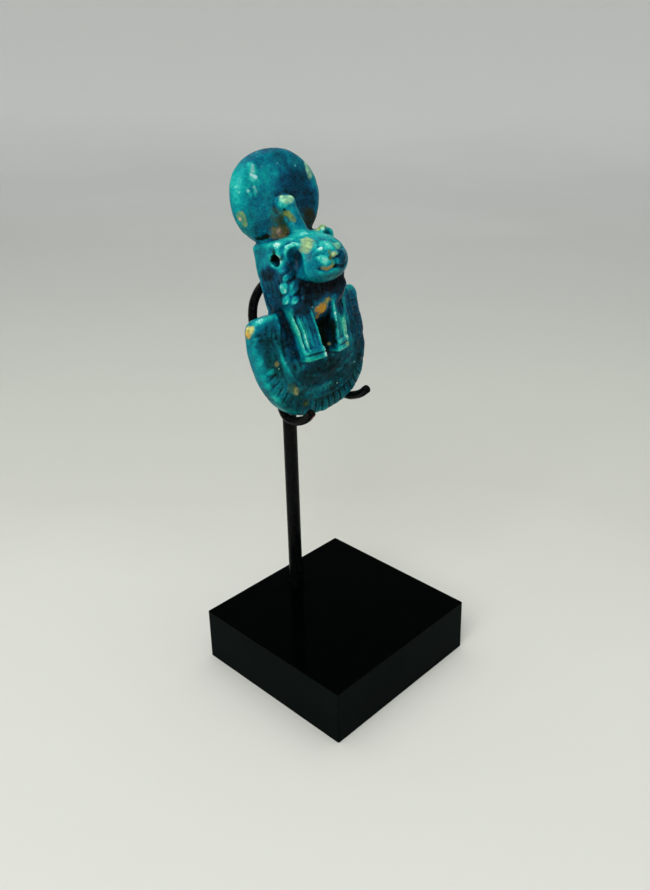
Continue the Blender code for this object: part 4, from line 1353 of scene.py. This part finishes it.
    def stains_and_light(self) -> list[StainAndLight]:
        """List the spots of wear, crusts of burial and bare paste, with painted highlights and
        shade.

        Returns:
            The spots, in the order they are laid down.
        """
        olive, slot_shade = "#3a4a1c", "#06100b"
        return [
            StainAndLight((-2.6, -4.1, 39.4), (2.3, 1.4, 2.8), olive, 0.6),
            StainAndLight((-1.5, -4.8, 38.0), (1.2, 1.4, 2.6), "#1f3d1f", 0.6),
            StainAndLight((-3.2, -4.0, 37.0), (2.2, 1.5, 1.3), "#7d7444", 0.65),
            StainAndLight((-3.0, -4.3, 37.2), (0.8, 0.8, 0.7), "#cdb09c", 0.55),
            StainAndLight((5.2, -3.9, 38.3), (2.3, 1.7, 2.6), "#242612", 0.85),
            # Painted shade: near-black in the slot between the disc and the top left of the wig.
            StainAndLight((-6.9, -3.6, 36.9), (2.0, 1.2, 0.6), slot_shade, 0.95),
            StainAndLight((-10.4, -2.8, 42.0), (0.55, 1.0, 0.7), "#7f9a4e", 0.62, end=(-9.8, -2.9, 40.2)),
            StainAndLight((-10.3, -2.6, 41.2), 0.42, "#d9b9a2", 0.9),
            StainAndLight((8.0, -3.6, 47.4), (0.9, 1.1, 1.8), "#93cba5", 0.8),
            # Painted highlights in broken patches on the disc's left face.
            StainAndLight((-5.8, -3.7, 50.2), (0.5, 0.8, 0.45), "#bfe9ec", 0.55, end=(-6.2, -3.9, 49.3)),
            StainAndLight((-6.7, -4.0, 48.7), (0.45, 0.8, 0.4), "#bfe9ec", 0.5, end=(-5.9, -4.0, 48.1)),
            StainAndLight((-8.3, -4.0, 45.9), (0.4, 0.8, 0.35), "#a9e0de", 0.4),
            StainAndLight((-6.8, -4.1, 46.4), (0.4, 0.8, 0.3), "#a9e0de", 0.4, end=(-6.5, -4.1, 45.5)),
            StainAndLight((-1.0, -6.0, 42.9), (1.7, 1.4, 0.9), "#a8dcab", 0.8),
            StainAndLight((-1.7, -6.1, 40.4), (0.7, 0.9, 0.6), "#6c7f3c", 0.75, end=(-1.3, -6.9, 39.0)),
            StainAndLight((4.1, -8.0, 36.4), (1.7, 1.3, 1.0), "#9bb96e", 0.9),
            StainAndLight((5.6, -7.6, 36.2), (0.8, 0.9, 0.6), "#5fbfae", 0.5),
            StainAndLight((-2.6, -11.0, 34.9), (1.1, 1.3, 1.0), "#9fbc80", 0.8, end=(-4.0, -11.6, 33.5)),
            StainAndLight((1.6, -13.7, 32.9), (1.2, 1.2, 0.8), "#7fcba0", 0.7),
            StainAndLight((-0.4, -15.0, 31.6), (0.8, 0.8, 0.6), "#a3b886", 0.8),
            StainAndLight((-1.0, -14.7, 32.3), (0.25, 0.6, 0.4), "#3f6b33", 0.75, end=(-1.15, -14.6, 31.0)),
            StainAndLight((-1.15, -14.6, 31.0), (0.3, 0.6, 0.4), "#5a7a38", 0.7, end=(-0.9, -14.5, 29.6)),
            StainAndLight((-2.7, -14.0, 29.6), (0.5, 0.8, 0.4), "#8f8c40", 0.6),
            StainAndLight((-1.9, -14.2, 29.3), (0.55, 0.8, 0.4), "#b0953e", 0.8, end=(-1.0, -14.4, 29.4)),
            # Painted shade: near-black in both mouths of the suspension hole.
            StainAndLight((-6.6, -6.2, 32.4), (1.3, 1.7, 1.4), "#020607", 1.0),
            StainAndLight((6.6, -6.2, 32.4), (1.3, 1.7, 1.4), "#020607", 1.0),
            StainAndLight((-7.7, -6.8, 34.0), (0.5, 0.45, 0.8), "#0e3a2c", 0.8),
            StainAndLight((-7.2, -7.8, 28.6), (0.35, 0.6, 1.6), "#55571f", 0.7),
            # Painted shade: near-black under the jaw.
            StainAndLight((0.6, -9.4, 25.6), (7.0, 1.8, 2.2), "#010508", 0.8),
            StainAndLight((0.2, -8.2, 21.0), (2.1, 1.4, 1.2), "#bd8d35", 0.95),
            StainAndLight((1.5, -8.3, 22.2), (1.2, 1.0, 0.7), "#9a9040", 0.7),
            StainAndLight((-1.4, -8.0, 19.8), (1.0, 0.9, 0.8), "#93742a", 0.75),
            # Painted shade: near-black in the gap between the lappets.
            StainAndLight((0.9, -6.6, 16.4), (2.1, 2.8, 4.2), "#071209", 0.8),
            StainAndLight((1.7, -5.9, 13.4), (0.5, 0.6, 0.45), "#8f8a55", 0.9),
            StainAndLight((6.6, -7.9, 17.4), 0.42, "#9fd6a2", 0.9),
            StainAndLight((4.9, -8.2, 12.7), (0.8, 0.7, 0.7), "#8fae5a", 0.8),
            StainAndLight((-14.2, -2.4, 21.0), (0.7, 1.2, 1.1), "#c9c878", 0.9),
            StainAndLight((-14.3, -1.6, 19.8), (0.7, 0.9, 0.9), "#c49b3c", 0.7),
            StainAndLight((-11.0, -4.1, 13.1), (0.6, 0.6, 0.55), "#6c6a42", 0.8),
            StainAndLight((-8.0, -4.4, 6.6), (0.9, 0.8, 0.8), "#7c8358", 0.85),
            StainAndLight((-9.0, -4.3, 7.4), (1.1, 0.8, 1.0), "#3b491c", 0.6),
            StainAndLight((-8.2, -1.5, 23.0), (0.8, 1.2, 1.0), "#93a161", 0.8),
            StainAndLight((-6.0, -3.9, 3.4), (1.1, 0.8, 0.6), "#3c4a22", 0.6),
        ]

    def laid_over(self, spots: Iterable[StainAndLight | PoolAndLight], points: Grid, fray: Grid) -> Iterable[tuple]:
        """How strongly each spot covers each point.

        Args:
            spots: Spots to lay down.
            points: Points of the surface.
            fray: Random value for each point, which makes the spots' edges uneven.

        Returns:
            Each spot with its cover from 0 to 1.
        """
        for spot in spots:
            radius = np.broadcast_to(np.array(spot.radius, dtype=float), 3)
            away = points - np.array(spot.place)
            if spot.end:
                run = np.array(spot.end) - np.array(spot.place)
                away = away - np.clip(away @ run / (run @ run), 0.0, 1.0)[:, None] * run
            gap = np.linalg.norm(away / radius, axis=1)
            yield spot, 1 - ease(gap + 0.3 * fray, 0.55, 1.35)

    def paint(self, mesh: bpy.types.Mesh, clay: Clay, points: Grid) -> None:
        """Store the glaze's depth and its spots of colour, with painted highlights and shade, on
        the mesh.

        Args:
            mesh: Carved mesh.
            clay: Clay that it was taken from.
            points: Its points in millimetres.
        """
        fray = clay.sample(clay.ripple(0.7, 21), points)
        fray = fray + 0.6 * clay.sample(clay.ripple(1.8, 22), points)
        narrow = -clay.sample(clay.blurred(0.55), points)
        broad = -clay.sample(clay.blurred(1.7), points)
        fine = -clay.sample(clay.blurred(0.25), points)
        hollow = ease(narrow, 0.02, 0.26) * 0.4 + ease(broad, 0.05, 0.85) * 0.36
        hollow = hollow + ease(fine, 0.01, 0.09) * 0.14
        crest = ease(-narrow, 0.05, 0.3) * 0.32 + ease(-fine, 0.01, 0.09) * 0.12
        drift = 0.1 * clay.sample(clay.ripple(5.0, 23), points)
        depth = self.usual_depth + hollow - crest + drift
        green = np.full(len(points), self.usual_green)
        for pool_and_light, cover in self.laid_over(self.pools_and_light(), points, 0.4 * fray):
            depth += pool_and_light.depth * cover
            green += pool_and_light.green * cover
        middle, reach = self.depth_middle, self.depth_reach
        depth = middle + reach * np.tanh((depth - middle) / reach)
        colour, cover_all = np.zeros((len(points), 3)), np.zeros(len(points))
        for stain_and_light, cover in self.laid_over(self.stains_and_light(), points, fray):
            cover = cover * stain_and_light.strength
            tint = np.array(linear(stain_and_light.code)[:3])
            colour = colour * (1 - cover[:, None]) + tint * cover[:, None]
            cover_all = cover_all + cover * (1 - cover_all)
        colour = colour / np.maximum(cover_all, 1e-3)[:, None]
        for name, values in (("depth", depth), ("green", np.clip(green, 0.0, 1.0))):
            layer = mesh.attributes.new(name, "FLOAT", "POINT")
            layer.data.foreach_set("value", values.astype(np.float32))
        spots = mesh.color_attributes.new("stain_and_light", "FLOAT_COLOR", "POINT")
        shades = np.column_stack([colour, cover_all]).astype(np.float32)
        spots.data.foreach_set("color", shades.ravel())

    def build(self) -> bpy.types.Object:
        """Carve the whole amulet and dress it.

        Returns:
            The finished piece, which stands for the frame's plainer solid.
        """
        clay = Clay(self.grid_low, self.grid_high, self.step)
        self.carve_collar(clay)
        self.carve_disc(clay)
        self.carve_wig(clay)
        self.carve_lappets(clay)
        self.carve_throat(clay)
        self.carve_mane(clay)
        self.carve_head(clay)
        self.wear_down(clay)
        clay.settle()
        points, squares = clay.skin()
        pose = np.array(self.pose())
        placed = points * MM @ pose[:3, :3].T + pose[:3, 3]
        mesh = bpy.data.meshes.new(PIECE)
        mesh.from_pydata(placed.tolist(), [], squares.tolist())
        mesh.shade_smooth()
        self.paint(mesh, clay, points)
        mesh.materials.append(self.glaze.material())
        amulet = bpy.data.objects.new(PIECE, mesh)
        bpy.context.collection.objects.link(amulet)
        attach(amulet, "root")
        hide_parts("amulet")
        LOG.info("%s: %d points, %d squares", PIECE, len(points), len(squares))
        return amulet


# Stand


@dataclass
class Stand:
    """Acrylic block, rod and wire cradle, whose solids already have their real shape."""

    block_finish: BlackAcrylic = field(default_factory=BlackAcrylic)
    rod_finish: BlackPaint = field(
        default_factory=lambda: BlackPaint("black gloss paint on rod", roughness=0.3)
    )
    wire_finish: BlackPaint = field(
        default_factory=lambda: BlackPaint("black gloss paint on wire", bare_tip=(-6.9, -2.3, 60.7))
    )

    def build(self, nodes: dict[str, bpy.types.Object]) -> None:
        """Dress the stand's own solids.

        Args:
            nodes: The frame's solids by name.
        """
        for name, finish in (
            ("base_block", self.block_finish),
            ("rod", self.rod_finish),
            ("cradle_wire", self.wire_finish),
        ):
            for slot in nodes[name].material_slots:
                slot.material = finish.material()
            LOG.info("%s: %s", name, finish.name)


# Studio


class LampRole(Enum):
    """What each soft light is for."""

    KEY = "key"
    FILL = "fill"
    TOP = "top"


@dataclass(frozen=True)
class SoftBox:
    """Square soft light that faces a point."""

    role: LampRole
    place: Point
    size: float
    watts: float
    aim: Point = (0.0, 0.0, 60.0)

    def build(self) -> None:
        """Hang the light."""
        data = bpy.data.lights.new(f"{self.role.value}_softbox", "AREA")
        data.shape = "SQUARE"
        data.size = self.size * MM
        data.energy = self.watts
        lamp = bpy.data.objects.new(data.name, data)
        bpy.context.collection.objects.link(lamp)
        lamp.location = Vector(self.place) * MM
        beam = Vector(self.aim) - Vector(self.place)
        lamp.rotation_euler = beam.to_track_quat("-Z", "Y").to_euler()


@dataclass
class Studio:
    """Pale cloth sweep, soft lights and the camera of the photograph."""

    cloth: BackdropCloth = field(default_factory=BackdropCloth)
    camera_place: Point = (-117.79, -118.63, 135.4)
    azimuth: float = PHOTO_AZIMUTH
    elevation: float = 22.302
    roll: float = 0.199
    lens: float = 36.552
    shift: Range = (-0.0689, -0.0753)
    near_clip: float = 0.01
    room_code: str = "#f4f5f3"
    ambient: float = 0.52
    floor_rings: tuple[float, ...] = (150.0, 400.0)
    floor_radius: float = 620.0
    cove_radius: float = 480.0
    cove_height: float = 1500.0
    cove_steps: int = 12
    cove_sides: int = 72
    lamps: tuple[SoftBox, ...] = (
        SoftBox(LampRole.KEY, (-420.0, -160.0, 460.0), 380.0, 2.1),
        SoftBox(LampRole.FILL, (260.0, -480.0, 260.0), 380.0, 0.15),
        SoftBox(LampRole.TOP, (40.0, 60.0, 700.0), 800.0, 2.0),
    )

    def cove(self) -> bpy.types.Object:
        """Lay the cloth as a round floor that curves up into a wall all about the object.

        Returns:
            The cloth.
        """
        steps, around, radius = self.cove_steps, self.cove_sides, self.cove_radius
        profile = [(ring, 0.0) for ring in self.floor_rings]
        for bend in (math.radians(90 * i / steps) for i in range(steps + 1)):
            away = self.floor_radius + radius * math.sin(bend)
            profile.append((away, radius * (1 - math.cos(bend))))
        profile.append((profile[-1][0], self.cove_height))
        points = [(0.0, 0.0, 0.0)]
        for away, up in profile:
            for i in range(around):
                angle = math.tau * i / around
                side, ahead = away * math.cos(angle) * MM, away * math.sin(angle) * MM
                points.append((side, ahead, up * MM))
        faces = [(0, 1 + i, 1 + (i + 1) % around) for i in range(around)]
        for ring in range(len(profile) - 1):
            for i in range(around):
                a, b = 1 + ring * around + i, 1 + ring * around + (i + 1) % around
                faces.append((a, a + around, b + around, b))
        mesh = bpy.data.meshes.new("backdrop_cloth")
        mesh.from_pydata(points, [], faces)
        mesh.shade_smooth()
        mesh.materials.append(self.cloth.material())
        cloth = bpy.data.objects.new("backdrop_cloth", mesh)
        bpy.context.collection.objects.link(cloth)
        return cloth

    def camera(self) -> bpy.types.Object:
        """Set the camera where the photograph was taken from.

        Returns:
            The camera.
        """
        data = bpy.data.cameras.new("photo_camera")
        data.lens = self.lens
        data.shift_x, data.shift_y = self.shift
        data.clip_start = self.near_clip
        camera = bpy.data.objects.new("photo_camera", data)
        bpy.context.collection.objects.link(camera)
        camera.location = Vector(self.camera_place) * MM
        aim = Euler((0.0, 0.0, math.radians(self.azimuth))).to_matrix()
        tilt = Matrix.Rotation(math.radians(90 - self.elevation), 3, "X")
        spin = Matrix.Rotation(math.radians(self.roll), 3, "Z")
        camera.rotation_euler = (aim @ tilt @ spin).to_euler()
        bpy.context.scene.camera = camera
        return camera

    def world(self) -> None:
        """Fill the room with even light."""
        world = bpy.data.worlds.new("studio_room")
        world.use_nodes = True
        background = world.node_tree.nodes["Background"]
        background.inputs["Color"].default_value = linear(self.room_code)
        background.inputs["Strength"].default_value = self.ambient
        bpy.context.scene.world = world

    def build(self) -> None:
        """Set up the cloth, the lights and the camera."""
        self.world()
        self.cove()
        for lamp in self.lamps:
            lamp.build()
        self.camera()
        bpy.context.scene.view_settings.view_transform = "Standard"
        LOG.info("studio: %d soft lights", len(self.lamps))


def main() -> None:
    """Load the frame, and build the studio, the stand and the amulet."""
    logging.basicConfig(level=logging.INFO, format="%(message)s")
    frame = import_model()
    Studio().build()
    Stand().build(frame["nodes"])
    Amulet().build()


if __name__ == "__main__":
    main()
